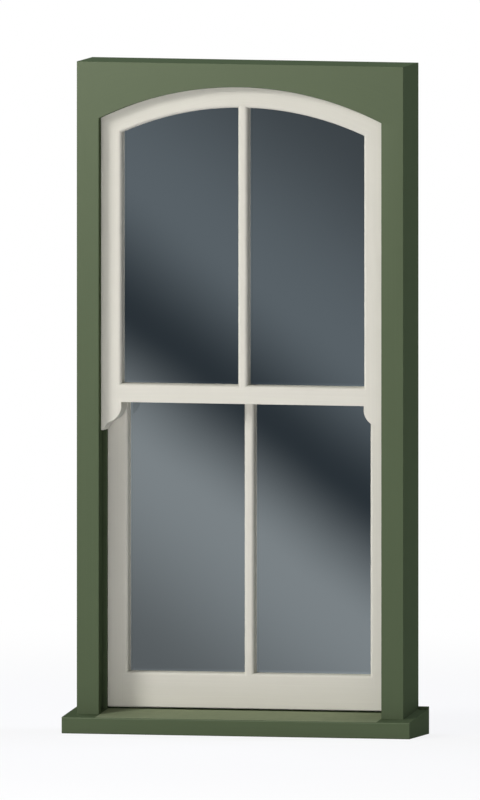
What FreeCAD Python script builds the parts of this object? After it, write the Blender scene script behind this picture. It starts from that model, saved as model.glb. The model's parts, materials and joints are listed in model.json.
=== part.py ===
import FreeCAD, Part
import Sketcher
import math
import os
import re

# Vertical sliding sash window with a segmental arched head.
# Millimetres. X runs to the right, Y to the room, Z up. The origin is on the
# sill's underside, in the middle of its length and of its depth.

SIZES = {
    # Frame
    "frame_width": 850.0,
    "frame_height": 1700.0,
    "jamb_thickness": 46.0,
    "lining_width": 57.5,
    "lining_thickness": 24.5,
    "lining_arris": 1.2,
    "crown_width": 59.0,
    "arch_radius": 838.0,
    # Sill
    "sill_projection": 48.0,
    "sill_horn": 27.5,
    "sill_nose": 41.5,
    "sill_slope": 5.7,
    "sill_upstand": 8.0,
    "sill_arris": 3.0,
    "drip_setback": 14.0,
    "drip_width": 7.0,
    "drip_depth": 5.0,
    # Beads and running gaps
    "sash_gap": 1.5,
    "parting_gap": 1.0,
    "parting_bead_thickness": 8.0,
    "parting_bead_stand": 12.5,
    "parting_bead_seat": 9.0,
    "staff_bead_thickness": 10.0,
    "staff_bead_stand": 12.0,
    "staff_bead_round": 6.0,
    "side_gap": 2.0,
    "head_gap": 0.3,
    # Sashes
    "sash_thickness": 57.0,
    "stile_width": 61.5,
    "arched_rail_width": 65.0,
    "meeting_height": 837.0,
    "meeting_rail_width": 47.0,
    "meeting_splay": 8.0,
    "meeting_gap": 1.0,
    "bottom_rail_width": 94.6,
    "throat_rise": 6.3,
    "throat_depth": 26.0,
    "bar_width": 24.5,
    "ovolo": 8.0,
    "tenon_thickness": 17.0,
    "tenon_setback": 36.0,
    "tenon_shoulder": 10.0,
    # Horns
    "horn_drop": 72.0,
    "horn_neck": 14.0,
    "horn_waist": 22.0,
    "horn_waist_drop": 47.0,
    "horn_toe": 46.0,
    "horn_bulge_radius": 44.0,
    "horn_hollow_radius": 36.0,
    # Glazing
    "glass_setback": 33.0,
    "glass_thickness": 12.0,
    "glass_gap": 1.0,
    "bead_splay": 4.0,
    # Sash fasteners on the meeting rails
    "fastener_offset": 160.0,
    "fastener_setback": 8.0,
    "fastener_plate": 2.5,
    "fastener_half_length": 24.0,
    "fastener_half_width": 11.0,
    "fastener_corner": 6.0,
    "fastener_fit": 0.1,
    "pin_radius": 4.0,
    "pin_head_radius": 7.0,
    "pin_head_height": 2.0,
    "hub_radius": 9.0,
    "arm_thickness": 5.0,
    "tongue_reach": 27.0,
    "tongue_half_width": 4.5,
    "lever_reach": 24.0,
    "knob_radius": 4.5,
    "knob_height": 11.0,
    "keep_half_length": 19.0,
    "keep_margin": 1.0,
    "keep_plate": 2.0,
    "keep_depth": 11.0,
    "hook_gap": 3.0,
    "hook_bar": 3.0,
    "hook_margin": 2.0,
    # Sash lifts on the bottom rail
    "lift_offset": 180.0,
    "lift_level": 100.0,
    "lift_plate": 1.5,
    "lift_half_length": 38.0,
    "lift_half_height": 19.0,
    "lift_corner": 6.0,
    "cup_half_length": 30.0,
    "cup_half_height": 12.5,
    "cup_corner": 8.0,
    "cup_depth": 13.0,
    "cup_wall": 1.5,
}

doc = FreeCAD.newDocument("ArchedSashWindow")
sheet = doc.addObject("Spreadsheet::Sheet", "Sizes")
for row, (alias, size) in enumerate(SIZES.items(), start=1):
    sheet.set(f"A{row}", str(size))
    sheet.setAlias(f"A{row}", alias)
doc.recompute()

FUNCTIONS = ("sqrt", "tan", "sin", "cos", "asin")
SAME_PLACE = 0.01
UPRIGHT_SHARE = 0.9


def bound(rule):
    """A rule in the names of the sizes, as the document's expressions read it."""
    def link(word):
        return word.group() if word.group() in FUNCTIONS else "Sizes." + word.group()
    return re.sub(r"[a-z][a-z_]*", link, rule)


def measure(rule):
    """The rule's value with the sizes as they stand."""
    return float(sheet.evalExpression(bound(rule)))


# Places across the window
HALF = "(frame_width / 2)"
JAMB_FACE = f"({HALF} - jamb_thickness)"
OPENING = f"({HALF} - lining_width)"
SASH_SIDE = f"({JAMB_FACE} - side_gap)"
SIGHT = f"({SASH_SIDE} - stile_width)"
FACE_EDGE = f"({SIGHT} + ovolo)"
BAR = "(bar_width / 2)"
BAR_WEB = f"({BAR} - ovolo)"

# Places from front to back
DEPTH = (
    "(lining_thickness + 2 * sash_gap + 2 * sash_thickness"
    " + 2 * parting_gap + parting_bead_thickness + staff_bead_thickness)"
)
FRONT = f"((sill_projection - {DEPTH}) / 2)"
NOSE = f"({FRONT} - sill_projection)"
LINING_BACK = f"({FRONT} + lining_thickness)"
UPPER_FACE = f"({LINING_BACK} + sash_gap)"
UPPER_BACK = f"({UPPER_FACE} + sash_thickness)"
PARTING_FACE = f"({UPPER_BACK} + parting_gap)"
PARTING_BACK = f"({PARTING_FACE} + parting_bead_thickness)"
LOWER_FACE = f"({PARTING_BACK} + parting_gap)"
LOWER_BACK = f"({LOWER_FACE} + sash_thickness)"
STAFF_FACE = f"({LOWER_BACK} + sash_gap)"
BACK = f"({STAFF_FACE} + staff_bead_thickness)"

# Radii of the arch, all about one centre
CENTRE = "(frame_height - crown_width - arch_radius)"
SOFFIT = "(arch_radius + lining_width - jamb_thickness)"
SASH_TOP = f"({SOFFIT} - head_gap)"
SIGHT_RADIUS = f"({SASH_TOP} - arched_rail_width)"
FACE_RADIUS = f"({SIGHT_RADIUS} + ovolo)"


def arch_level(radius, across):
    """Height of an arc of the arch at a distance from the middle."""
    return f"({CENTRE} + sqrt({radius} * {radius} - {across} * {across}))"


def sill_level(depth):
    """Height of the weathered top of the sill."""
    return f"(sill_nose + ({depth} - {NOSE}) * tan(sill_slope))"


# Heights
MEETING_TOP = "(meeting_height + meeting_rail_width)"
BOTTOM_SIGHT = f"({sill_level(LOWER_FACE)} + bottom_rail_width)"
JAMB_TOP = arch_level(SOFFIT, JAMB_FACE)
LINING_TOP = arch_level("arch_radius", OPENING)
SIGHT_SPRING = arch_level(SIGHT_RADIUS, SIGHT)
SASH_MITRE = (
    f"({SIGHT_SPRING} + stile_width / ovolo"
    f" * ({arch_level(FACE_RADIUS, FACE_EDGE)} - {SIGHT_SPRING}))"
)


def new_body(name):
    body = doc.addObject("PartDesign::Body", name)
    body.Label = name
    return body


def plane_of(body, role):
    return next(datum for datum in body.Origin.OriginFeatures if datum.Role == role)


def arc_between(start, end, radius, centre_on_left):
    """Short arc between two points, with its centre on the named side of the way from start to end."""
    chord = end - start
    middle = (start + end) * 0.5
    reach = math.sqrt(max(radius ** 2 - (chord.Length / 2) ** 2, 0.0))
    across = FreeCAD.Vector(-chord.y, chord.x, 0).normalize()
    centre = middle + across * (reach if centre_on_left else -reach)
    first, last = (start, end) if centre_on_left else (end, start)
    turn = [math.atan2(point.y - centre.y, point.x - centre.x) for point in (first, last)]
    if turn[1] < turn[0]:
        turn[1] += 2 * math.pi
    circle = Part.Circle(centre, FreeCAD.Vector(0, 0, 1), radius)
    return Part.ArcOfCircle(circle, turn[0], turn[1])


def draw(body, name, role, corners, curves, offsets):
    """Closed outline with each corner held by two rules.

    curves maps the number of an edge to (radius rule, centre on the left). offsets
    maps an axis of the sketch to the rule for how far the sketch stands along it.
    """
    sketch = body.newObject("Sketcher::SketchObject", name)
    sketch.AttachmentSupport = (plane_of(body, role), [""])
    sketch.MapMode = "FlatFace"
    for axis, rule in offsets.items():
        sketch.setExpression(f".AttachmentOffset.Base.{axis}", bound(rule))
    points = [FreeCAD.Vector(measure(across), measure(up), 0) for across, up in corners]
    count = len(points)
    joins = []
    for edge in range(count):
        start, end = points[edge], points[(edge + 1) % count]
        if edge in curves:
            radius, centre_on_left = curves[edge]
            sketch.addGeometry(arc_between(start, end, measure(radius), centre_on_left), False)
            joins.append((1, 2) if centre_on_left else (2, 1))
        else:
            sketch.addGeometry(Part.LineSegment(start, end), False)
            joins.append((1, 2))
    for edge in range(count):
        following = (edge + 1) % count
        sketch.addConstraint(Sketcher.Constraint(
            "Coincident", edge, joins[edge][1], following, joins[following][0]))
    for edge, (across, up) in enumerate(corners):
        held = (("DistanceX", across, points[edge].x), ("DistanceY", up, points[edge].y))
        for kind, rule, place in held:
            if rule == "0":
                axis = -2 if kind == "DistanceX" else -1
                sketch.addConstraint(Sketcher.Constraint("PointOnObject", edge, joins[edge][0], axis))
                continue
            index = sketch.addConstraint(Sketcher.Constraint(kind, -1, 1, edge, joins[edge][0], place))
            sketch.setExpression(f"Constraints[{index}]", bound(rule))
    for edge, (radius, centre_on_left) in curves.items():
        index = sketch.addConstraint(Sketcher.Constraint("Radius", edge, measure(radius)))
        sketch.setExpression(f"Constraints[{index}]", bound(radius))
    return sketch


def pad(body, name, role, corners, low, high, curves=None):
    """Solid between two levels on the axis that the outline's plane faces."""
    start = f"-({high})" if role == "XZ_Plane" else low
    sketch = draw(body, name + "_outline", role, corners, curves or {}, {"z": start})
    solid = body.newObject("PartDesign::Pad", name)
    solid.Profile = sketch
    solid.setExpression("Length", bound(f"({high}) - ({low})"))
    sketch.Visibility = False
    doc.recompute()
    return solid


def pocket(body, name, role, corners, low, high, curves=None):
    """Removes what lies between two levels, and makes sure that it did."""
    before = body.Shape.Volume
    start = f"-({low})" if role == "XZ_Plane" else high
    sketch = draw(body, name + "_outline", role, corners, curves or {}, {"z": start})
    hollow = body.newObject("PartDesign::Pocket", name)
    hollow.Profile = sketch
    hollow.setExpression("Length", bound(f"({high}) - ({low})"))
    doc.recompute()
    if body.Shape.Volume >= before:
        raise RuntimeError(f"{body.Label}: {name} removes nothing")
    return hollow


def turned(body, name, corners, curves, reach):
    """Section turned about the arch's centre, as far on each side as reach says."""
    sketch = draw(body, name + "_section", "YZ_Plane", corners, curves, {"y": CENTRE})
    ring = body.newObject("PartDesign::Revolution", name)
    ring.Profile = sketch
    ring.ReferenceAxis = (sketch, ["H_Axis"])
    ring.Midplane = True
    ring.setExpression("Angle", bound(f"2 * asin({reach})"))
    doc.recompute()
    return ring


def spun(body, name, corners, curves, across, depth):
    """Section turned all round an upright axis, given as radius and height."""
    sketch = draw(body, name + "_section", "XZ_Plane", corners, curves, {"x": across, "z": f"-({depth})"})
    ring = body.newObject("PartDesign::Revolution", name)
    ring.Profile = sketch
    ring.ReferenceAxis = (sketch, ["V_Axis"])
    doc.recompute()
    return ring


def rounded(across, up, half_length, half_height, corner):
    """Corners of a rectangle with rounded corners about a middle, and its arcs."""
    left, right = f"{across} - {half_length}", f"{across} + {half_length}"
    low, high = f"{up} - {half_height}", f"{up} + {half_height}"
    corners = [
        (f"{left} + {corner}", low), (f"{right} - {corner}", low),
        (right, f"{low} + {corner}"), (right, f"{high} - {corner}"),
        (f"{right} - {corner}", high), (f"{left} + {corner}", high),
        (left, f"{high} - {corner}"), (left, f"{low} + {corner}"),
    ]
    return corners, {edge: (corner, True) for edge in (1, 3, 5, 7)}


def chosen_edges(body, name, chosen):
    """The body's last feature, with those of its edges for which chosen is true."""
    base = body.Tip
    edges = [f"Edge{number}" for number, edge in enumerate(base.Shape.Edges, start=1) if chosen(edge)]
    if not edges:
        raise RuntimeError(f"{body.Label}: {name} finds no edge")
    return base, edges


def soften(body, name, radius, chosen):
    """Rounds the chosen edges of the body."""
    base = chosen_edges(body, name, chosen)
    fillet = body.newObject("PartDesign::Fillet", name)
    fillet.Base = base
    fillet.setExpression("Radius", bound(radius))
    doc.recompute()
    return fillet


def splay(body, name, size, chosen):
    """Takes a slanted face off the chosen edges of the body."""
    base = chosen_edges(body, name, chosen)
    chamfer = body.newObject("PartDesign::Chamfer", name)
    chamfer.Base = base
    chamfer.setExpression("Size", bound(size))
    doc.recompute()
    return chamfer


def without(name, base, *tools):
    """The base with each tool's shape taken out of it."""
    for number, tool in enumerate(tools, start=1):
        last = number == len(tools)
        piece = doc.addObject("Part::Cut", name if last else f"{name}_step_{number}")
        piece.Base = base
        piece.Tool = tool
        piece.Refine = True
        base = piece
    base.Label = name
    doc.recompute()
    return base


def mirrored(name, source):
    """The same piece on the other side of the window's middle."""
    copy = doc.addObject("Part::Mirroring", name)
    copy.Source = source
    copy.Base = FreeCAD.Vector(0, 0, 0)
    copy.Normal = FreeCAD.Vector(1, 0, 0)
    copy.Label = name
    doc.recompute()
    return copy


def arched(name, corners, curves, inner, outer, side):
    """Ring piece trimmed at both ends by the line through the points inner and outer."""
    body = new_body(name)
    turned(body, name + "_ring", corners, curves, f"{side} / {inner[2]}")
    pocket(body, name + "_ends", "XZ_Plane", [
        (inner[0], inner[1]),
        (outer[0], outer[1]),
        (outer[0], "frame_height"),
        ("frame_width", "frame_height"),
        ("frame_width", CENTRE),
        ("-frame_width", CENTRE),
        ("-frame_width", "frame_height"),
        (f"-{outer[0]}", "frame_height"),
        (f"-{outer[0]}", outer[1]),
        (f"-{inner[0]}", inner[1]),
    ], NOSE, BACK)
    return body


# Sill: weathered top, upstand behind the lower sash, drip groove under the nose
sill = new_body("sill")
pad(sill, "sill_section", "YZ_Plane", [
    (f"{NOSE} + sill_arris", "0"),
    (f"{NOSE} + drip_setback", "0"),
    (f"{NOSE} + drip_setback", "drip_depth"),
    (f"{NOSE} + drip_setback + drip_width", "drip_depth"),
    (f"{NOSE} + drip_setback + drip_width", "0"),
    (BACK, "0"),
    (BACK, f"{sill_level(STAFF_FACE)} + sill_upstand"),
    (STAFF_FACE, f"{sill_level(STAFF_FACE)} + sill_upstand"),
    (STAFF_FACE, sill_level(STAFF_FACE)),
    (f"{NOSE} + sill_arris * cos(sill_slope)", "sill_nose + sill_arris * sin(sill_slope)"),
    (NOSE, "sill_nose - sill_arris"),
    (NOSE, "sill_arris"),
], f"-({HALF} + sill_horn)", f"{HALF} + sill_horn", {
    9: ("sill_arris / tan((90 - sill_slope) / 2)", True),
    11: ("sill_arris", True),
})

# Parting beads: strips let into the jambs and the head between the two sashes
PARTING_EDGE = f"({JAMB_FACE} - parting_bead_stand)"
PARTING_ROOT = f"({JAMB_FACE} + parting_bead_seat)"
PARTING_IN = f"({SOFFIT} - parting_bead_stand)"
PARTING_OUT = f"({SOFFIT} + parting_bead_seat)"
parting_inner = (PARTING_EDGE, arch_level(PARTING_IN, PARTING_EDGE), PARTING_IN)
parting_outer = (PARTING_ROOT, arch_level(PARTING_OUT, PARTING_ROOT))

parting_blank = new_body("parting_bead_blank")
pad(parting_blank, "parting_strip", "XY_Plane", [
    (PARTING_EDGE, PARTING_FACE),
    (PARTING_ROOT, PARTING_FACE),
    (PARTING_ROOT, PARTING_BACK),
    (PARTING_EDGE, PARTING_BACK),
], "sill_nose", parting_outer[1])
pocket(parting_blank, "parting_mitre", "XZ_Plane", [
    parting_inner[:2],
    parting_outer,
    (PARTING_EDGE, parting_outer[1]),
], PARTING_FACE, PARTING_BACK)
right_parting_bead = without("right_parting_bead", parting_blank, sill)
left_parting_bead = mirrored("left_parting_bead", right_parting_bead)
arched_parting_bead = arched("arched_parting_bead", [
    (PARTING_FACE, PARTING_IN),
    (PARTING_BACK, PARTING_IN),
    (PARTING_BACK, PARTING_OUT),
    (PARTING_FACE, PARTING_OUT),
], {}, parting_inner, parting_outer, PARTING_ROOT)

# Jambs stand on the sill, and the head bears on them at the springing
jamb_blank = new_body("jamb_blank")
pad(jamb_blank, "jamb_post", "XY_Plane", [
    (JAMB_FACE, LINING_BACK),
    (HALF, LINING_BACK),
    (HALF, BACK),
    (JAMB_FACE, BACK),
], "sill_nose", JAMB_TOP)
right_jamb = without("right_jamb", jamb_blank, sill, right_parting_bead)
left_jamb = mirrored("left_jamb", right_jamb)

head_blank = new_body("head_blank")
pad(head_blank, "head_block", "XZ_Plane", [
    (f"-{HALF}", JAMB_TOP),
    (f"-{JAMB_FACE}", JAMB_TOP),
    (JAMB_FACE, JAMB_TOP),
    (HALF, JAMB_TOP),
    (HALF, "frame_height"),
    (f"-{HALF}", "frame_height"),
], LINING_BACK, BACK, {1: (SOFFIT, False)})
head = without("head", head_blank, arched_parting_bead, right_parting_bead, left_parting_bead)


def on_front(edge):
    """Whether the edge lies in the front plane of the frame."""
    plane = measure(FRONT)
    return all(abs(vertex.Point.y - plane) < SAME_PLACE for vertex in edge.Vertexes)


def runs_upright(edge):
    return abs(edge.Vertexes[0].Point.z - edge.Vertexes[-1].Point.z) > UPRIGHT_SHARE * edge.Length


# Outer linings: the front face of the frame, with softened arrises
lining_blank = new_body("lining_blank")
pad(lining_blank, "lining_board", "XY_Plane", [
    (OPENING, FRONT),
    (HALF, FRONT),
    (HALF, LINING_BACK),
    (OPENING, LINING_BACK),
], "sill_nose", LINING_TOP)
soften(lining_blank, "lining_arrises", "lining_arris", lambda edge: on_front(edge) and runs_upright(edge))
right_outer_lining = without("right_outer_lining", lining_blank, sill)
left_outer_lining = mirrored("left_outer_lining", right_outer_lining)

arched_outer_lining = new_body("arched_outer_lining")
pad(arched_outer_lining, "arched_board", "XZ_Plane", [
    (f"-{HALF}", LINING_TOP),
    (f"-{OPENING}", LINING_TOP),
    (OPENING, LINING_TOP),
    (HALF, LINING_TOP),
    (HALF, "frame_height"),
    (f"-{HALF}", "frame_height"),
], FRONT, LINING_BACK, {1: ("arch_radius", False)})


def shows_at_arch(edge):
    """Front edges of the arched lining, except the two where it meets the upright ones."""
    above_foot = measure(LINING_TOP) + SAME_PLACE
    rises = any(vertex.Point.z > above_foot for vertex in edge.Vertexes)
    return on_front(edge) and (rises or edge.Curve.TypeId == "Part::GeomCircle")


soften(arched_outer_lining, "arched_arrises", "lining_arris", shows_at_arch)

# Staff beads: rounded strips that keep the lower sash in, flush with the frame's back
STAFF_EDGE = f"({JAMB_FACE} - staff_bead_stand)"
STAFF_IN = f"({SOFFIT} - staff_bead_stand)"
staff_inner = (STAFF_EDGE, arch_level(STAFF_IN, STAFF_EDGE), STAFF_IN)
staff_outer = (JAMB_FACE, JAMB_TOP)

staff_blank = new_body("staff_bead_blank")
pad(staff_blank, "staff_strip", "XY_Plane", [
    (STAFF_EDGE, STAFF_FACE),
    (JAMB_FACE, STAFF_FACE),
    (JAMB_FACE, BACK),
    (f"{STAFF_EDGE} + staff_bead_round", BACK),
    (STAFF_EDGE, f"{BACK} - staff_bead_round"),
], "sill_nose", JAMB_TOP, {3: ("staff_bead_round", True)})
pocket(staff_blank, "staff_mitre", "XZ_Plane", [
    staff_inner[:2],
    staff_outer,
    (STAFF_EDGE, JAMB_TOP),
], STAFF_FACE, BACK)
right_staff_bead = without("right_staff_bead", staff_blank, sill)
left_staff_bead = mirrored("left_staff_bead", right_staff_bead)
arched_staff_bead = arched("arched_staff_bead", [
    (STAFF_FACE, STAFF_IN),
    (f"{BACK} - staff_bead_round", STAFF_IN),
    (BACK, f"{STAFF_IN} + staff_bead_round"),
    (BACK, SOFFIT),
    (STAFF_FACE, SOFFIT),
], {1: ("staff_bead_round", True)}, staff_inner, staff_outer, JAMB_FACE)


def stile_section(face):
    """Section of a right-hand stile: ovolo towards the glass, rebate behind it."""
    return [
        (FACE_EDGE, face),
        (SASH_SIDE, face),
        (SASH_SIDE, f"{face} + sash_thickness"),
        (FACE_EDGE, f"{face} + sash_thickness"),
        (FACE_EDGE, f"{face} + glass_setback"),
        (SIGHT, f"{face} + glass_setback"),
        (SIGHT, f"{face} + ovolo"),
    ]


STILE_OVOLO = {6: ("ovolo", True)}


def tenon_section(face, low, high):
    """Section of a tenon, which is also its mortise in the stile."""
    return [
        (f"{face} + tenon_setback", low),
        (f"{face} + tenon_setback + tenon_thickness", low),
        (f"{face} + tenon_setback + tenon_thickness", high),
        (f"{face} + tenon_setback", high),
    ]


UPPER_TENON = tenon_section(UPPER_FACE, "meeting_height + tenon_shoulder", f"{MEETING_TOP} - tenon_shoulder")
LOWER_TENON = tenon_section(LOWER_FACE, "meeting_height + tenon_shoulder", f"{MEETING_TOP} - tenon_shoulder")
BOTTOM_TENON = tenon_section(
    LOWER_FACE, f"{sill_level(LOWER_BACK)} + 2 * tenon_shoulder", f"{BOTTOM_SIGHT} - 2 * tenon_shoulder")

# Upper sash stiles run past the meeting rail and end in ogee horns
upper_right_stile = new_body("upper_right_stile")
pad(upper_right_stile, "stile_length", "XY_Plane", stile_section(UPPER_FACE),
    "meeting_height", SASH_MITRE, STILE_OVOLO)
pocket(upper_right_stile, "stile_mitre", "XZ_Plane", [
    (SIGHT, SIGHT_SPRING),
    (SASH_SIDE, SASH_MITRE),
    (SIGHT, SASH_MITRE),
], UPPER_FACE, UPPER_BACK)
pad(upper_right_stile, "horn", "XZ_Plane", [
    (SIGHT, "meeting_height"),
    (SIGHT, "meeting_height - horn_neck"),
    (f"{SIGHT} + horn_waist", "meeting_height - horn_waist_drop"),
    (f"{SIGHT} + horn_toe", "meeting_height - horn_drop"),
    (SASH_SIDE, "meeting_height - horn_drop"),
    (SASH_SIDE, "meeting_height"),
], UPPER_FACE, UPPER_BACK, {
    1: ("horn_bulge_radius", True),
    2: ("horn_hollow_radius", False),
})
pocket(upper_right_stile, "meeting_mortise", "YZ_Plane", UPPER_TENON, SIGHT, SASH_SIDE)
upper_left_stile = mirrored("upper_left_stile", upper_right_stile)

# Arched top rail, mitred to the stiles
upper_arched_rail = arched("upper_arched_rail", [
    (UPPER_FACE, FACE_RADIUS),
    (f"{UPPER_FACE} + ovolo", SIGHT_RADIUS),
    (f"{UPPER_FACE} + glass_setback", SIGHT_RADIUS),
    (f"{UPPER_FACE} + glass_setback", FACE_RADIUS),
    (UPPER_BACK, FACE_RADIUS),
    (UPPER_BACK, SASH_TOP),
    (UPPER_FACE, SASH_TOP),
], {0: ("ovolo", True)}, (SIGHT, SIGHT_SPRING, SIGHT_RADIUS), (SASH_SIDE, SASH_MITRE), SASH_SIDE)

# Meeting rails, splayed where they close on each other
RAIL_REACH = f"({PARTING_EDGE} - side_gap)"
upper_meeting_blank = new_body("upper_meeting_blank")
pad(upper_meeting_blank, "upper_meeting_length", "YZ_Plane", [
    (UPPER_FACE, "meeting_height"),
    (UPPER_BACK, "meeting_height"),
    (UPPER_BACK, MEETING_TOP),
    (f"{UPPER_FACE} + glass_setback + glass_thickness", MEETING_TOP),
    (f"{UPPER_FACE} + glass_setback + glass_thickness", f"{MEETING_TOP} - ovolo"),
    (f"{UPPER_FACE} + glass_setback", f"{MEETING_TOP} - ovolo"),
    (f"{UPPER_FACE} + glass_setback", MEETING_TOP),
    (f"{UPPER_FACE} + ovolo", MEETING_TOP),
    (UPPER_FACE, f"{MEETING_TOP} - ovolo"),
], f"-{FACE_EDGE}", FACE_EDGE, {7: ("ovolo", True)})
pad(upper_meeting_blank, "upper_tenons", "YZ_Plane", UPPER_TENON, f"-{SASH_SIDE}", SASH_SIDE)
pad(upper_meeting_blank, "upper_splay", "YZ_Plane", [
    (UPPER_BACK, "meeting_height"),
    (f"{LOWER_FACE} - meeting_gap", "meeting_height"),
    (f"{LOWER_FACE} - meeting_gap - meeting_splay", MEETING_TOP),
    (UPPER_BACK, MEETING_TOP),
], f"-{RAIL_REACH}", RAIL_REACH)
upper_meeting_rail = without("upper_meeting_rail", upper_meeting_blank, upper_right_stile, upper_left_stile)

lower_stile_blank = new_body("lower_stile_blank")
pad(lower_stile_blank, "lower_stile_length", "XY_Plane", stile_section(LOWER_FACE),
    "sill_nose", MEETING_TOP, STILE_OVOLO)
pocket(lower_stile_blank, "lower_meeting_mortise", "YZ_Plane", LOWER_TENON, SIGHT, SASH_SIDE)
pocket(lower_stile_blank, "bottom_mortise", "YZ_Plane", BOTTOM_TENON, SIGHT, SASH_SIDE)

# The underside of the lower sash sits on the weathering, with a throat at its face
throat = doc.addObject("Part::Box", "throat")
throat.setExpression("Length", bound("frame_width"))
throat.setExpression("Width", bound("throat_depth + parting_gap"))
throat.setExpression("Height", bound(f"{sill_level(LOWER_FACE)} + throat_rise"))
throat.setExpression("Placement.Base.x", bound(f"-{HALF}"))
throat.setExpression("Placement.Base.y", bound(f"{LOWER_FACE} - parting_gap"))

lower_right_stile = without("lower_right_stile", lower_stile_blank, sill, throat)
lower_left_stile = mirrored("lower_left_stile", lower_right_stile)

lower_meeting_blank = new_body("lower_meeting_blank")
pad(lower_meeting_blank, "lower_meeting_length", "YZ_Plane", [
    (LOWER_FACE, "meeting_height + ovolo"),
    (f"{LOWER_FACE} + ovolo", "meeting_height"),
    (f"{LOWER_FACE} + glass_setback", "meeting_height"),
    (f"{LOWER_FACE} + glass_setback", "meeting_height + ovolo"),
    (LOWER_BACK, "meeting_height + ovolo"),
    (LOWER_BACK, MEETING_TOP),
    (LOWER_FACE, MEETING_TOP),
], f"-{FACE_EDGE}", FACE_EDGE, {0: ("ovolo", True)})
pad(lower_meeting_blank, "lower_tenons", "YZ_Plane", LOWER_TENON, f"-{SASH_SIDE}", SASH_SIDE)
pad(lower_meeting_blank, "lower_splay", "YZ_Plane", [
    (LOWER_FACE, "meeting_height"),
    (LOWER_FACE, MEETING_TOP),
    (f"{LOWER_FACE} - meeting_splay", MEETING_TOP),
], f"-{RAIL_REACH}", RAIL_REACH)
lower_meeting_rail = without("lower_meeting_rail", lower_meeting_blank, lower_right_stile, lower_left_stile)

bottom_rail_blank = new_body("bottom_rail_blank")
pad(bottom_rail_blank, "bottom_rail_length", "YZ_Plane", [
    (LOWER_FACE, "sill_nose"),
    (LOWER_BACK, "sill_nose"),
    (LOWER_BACK, f"{BOTTOM_SIGHT} - ovolo"),
    (f"{LOWER_FACE} + glass_setback", f"{BOTTOM_SIGHT} - ovolo"),
    (f"{LOWER_FACE} + glass_setback", BOTTOM_SIGHT),
    (f"{LOWER_FACE} + ovolo", BOTTOM_SIGHT),
    (LOWER_FACE, f"{BOTTOM_SIGHT} - ovolo"),
], f"-{FACE_EDGE}", FACE_EDGE, {5: ("ovolo", True)})
pad(bottom_rail_blank, "bottom_tenons", "YZ_Plane", BOTTOM_TENON, f"-{SASH_SIDE}", SASH_SIDE)
for side, middle in (("right", "lift_offset"), ("left", "-lift_offset")):
    cup, cup_arcs = rounded(middle, "lift_level", "cup_half_length", "cup_half_height", "cup_corner")
    pocket(bottom_rail_blank, side + "_cup_mortise", "XZ_Plane", cup,
           f"{LOWER_BACK} - cup_depth", LOWER_BACK, cup_arcs)
lower_bottom_rail = without(
    "lower_bottom_rail", bottom_rail_blank, sill, throat, lower_right_stile, lower_left_stile)


def bar_section(face):
    """Glazing bar: ovolos on both edges in front, a web between the panes behind."""
    return [
        (f"-{BAR_WEB}", face),
        (BAR_WEB, face),
        (BAR, f"{face} + ovolo"),
        (BAR, f"{face} + glass_setback"),
        (BAR_WEB, f"{face} + glass_setback"),
        (BAR_WEB, f"{face} + sash_thickness"),
        (f"-{BAR_WEB}", f"{face} + sash_thickness"),
        (f"-{BAR_WEB}", f"{face} + glass_setback"),
        (f"-{BAR}", f"{face} + glass_setback"),
        (f"-{BAR}", f"{face} + ovolo"),
    ]


BAR_OVOLOS = {1: ("ovolo", True), 9: ("ovolo", True)}

upper_bar_blank = new_body("upper_bar_blank")
pad(upper_bar_blank, "upper_bar_length", "XY_Plane", bar_section(UPPER_FACE),
    f"{MEETING_TOP} - ovolo", f"{CENTRE} + {FACE_RADIUS}", BAR_OVOLOS)
upper_glazing_bar = without(
    "upper_glazing_bar", upper_bar_blank, upper_arched_rail, upper_meeting_rail)

lower_bar_blank = new_body("lower_bar_blank")
pad(lower_bar_blank, "lower_bar_length", "XY_Plane", bar_section(LOWER_FACE),
    f"{BOTTOM_SIGHT} - ovolo", "meeting_height + ovolo", BAR_OVOLOS)
lower_glazing_bar = without(
    "lower_glazing_bar", lower_bar_blank, lower_bottom_rail, lower_meeting_rail)

# Sealed glass units bear on the back of the moulding
PANE_IN = f"({BAR_WEB} + glass_gap)"
PANE_OUT = f"({FACE_EDGE} - glass_gap)"
PANE_RADIUS = f"({FACE_RADIUS} - glass_gap)"

upper_right_pane = new_body("upper_right_pane")
pad(upper_right_pane, "upper_unit", "XZ_Plane", [
    (PANE_IN, f"{MEETING_TOP} - ovolo + glass_gap"),
    (PANE_OUT, f"{MEETING_TOP} - ovolo + glass_gap"),
    (PANE_OUT, arch_level(PANE_RADIUS, PANE_OUT)),
    (PANE_IN, arch_level(PANE_RADIUS, PANE_IN)),
], f"{UPPER_FACE} + glass_setback", f"{UPPER_FACE} + glass_setback + glass_thickness",
    {2: (PANE_RADIUS, True)})
upper_left_pane = mirrored("upper_left_pane", upper_right_pane)

lower_right_pane = new_body("lower_right_pane")
pad(lower_right_pane, "lower_unit", "XZ_Plane", [
    (PANE_IN, f"{BOTTOM_SIGHT} - ovolo + glass_gap"),
    (PANE_OUT, f"{BOTTOM_SIGHT} - ovolo + glass_gap"),
    (PANE_OUT, "meeting_height + ovolo - glass_gap"),
    (PANE_IN, "meeting_height + ovolo - glass_gap"),
], f"{LOWER_FACE} + glass_setback", f"{LOWER_FACE} + glass_setback + glass_thickness")
lower_left_pane = mirrored("lower_left_pane", lower_right_pane)



def sight_edges(back):
    """Chooses the room-side edges of a glazing bead that face the glass."""
    def chosen(edge):
        return all(
            abs(vertex.Point.y - measure(back)) < SAME_PLACE
            and measure(BAR) - SAME_PLACE < vertex.Point.x < measure(SIGHT) + SAME_PLACE
            for vertex in edge.Vertexes)
    return chosen


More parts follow.
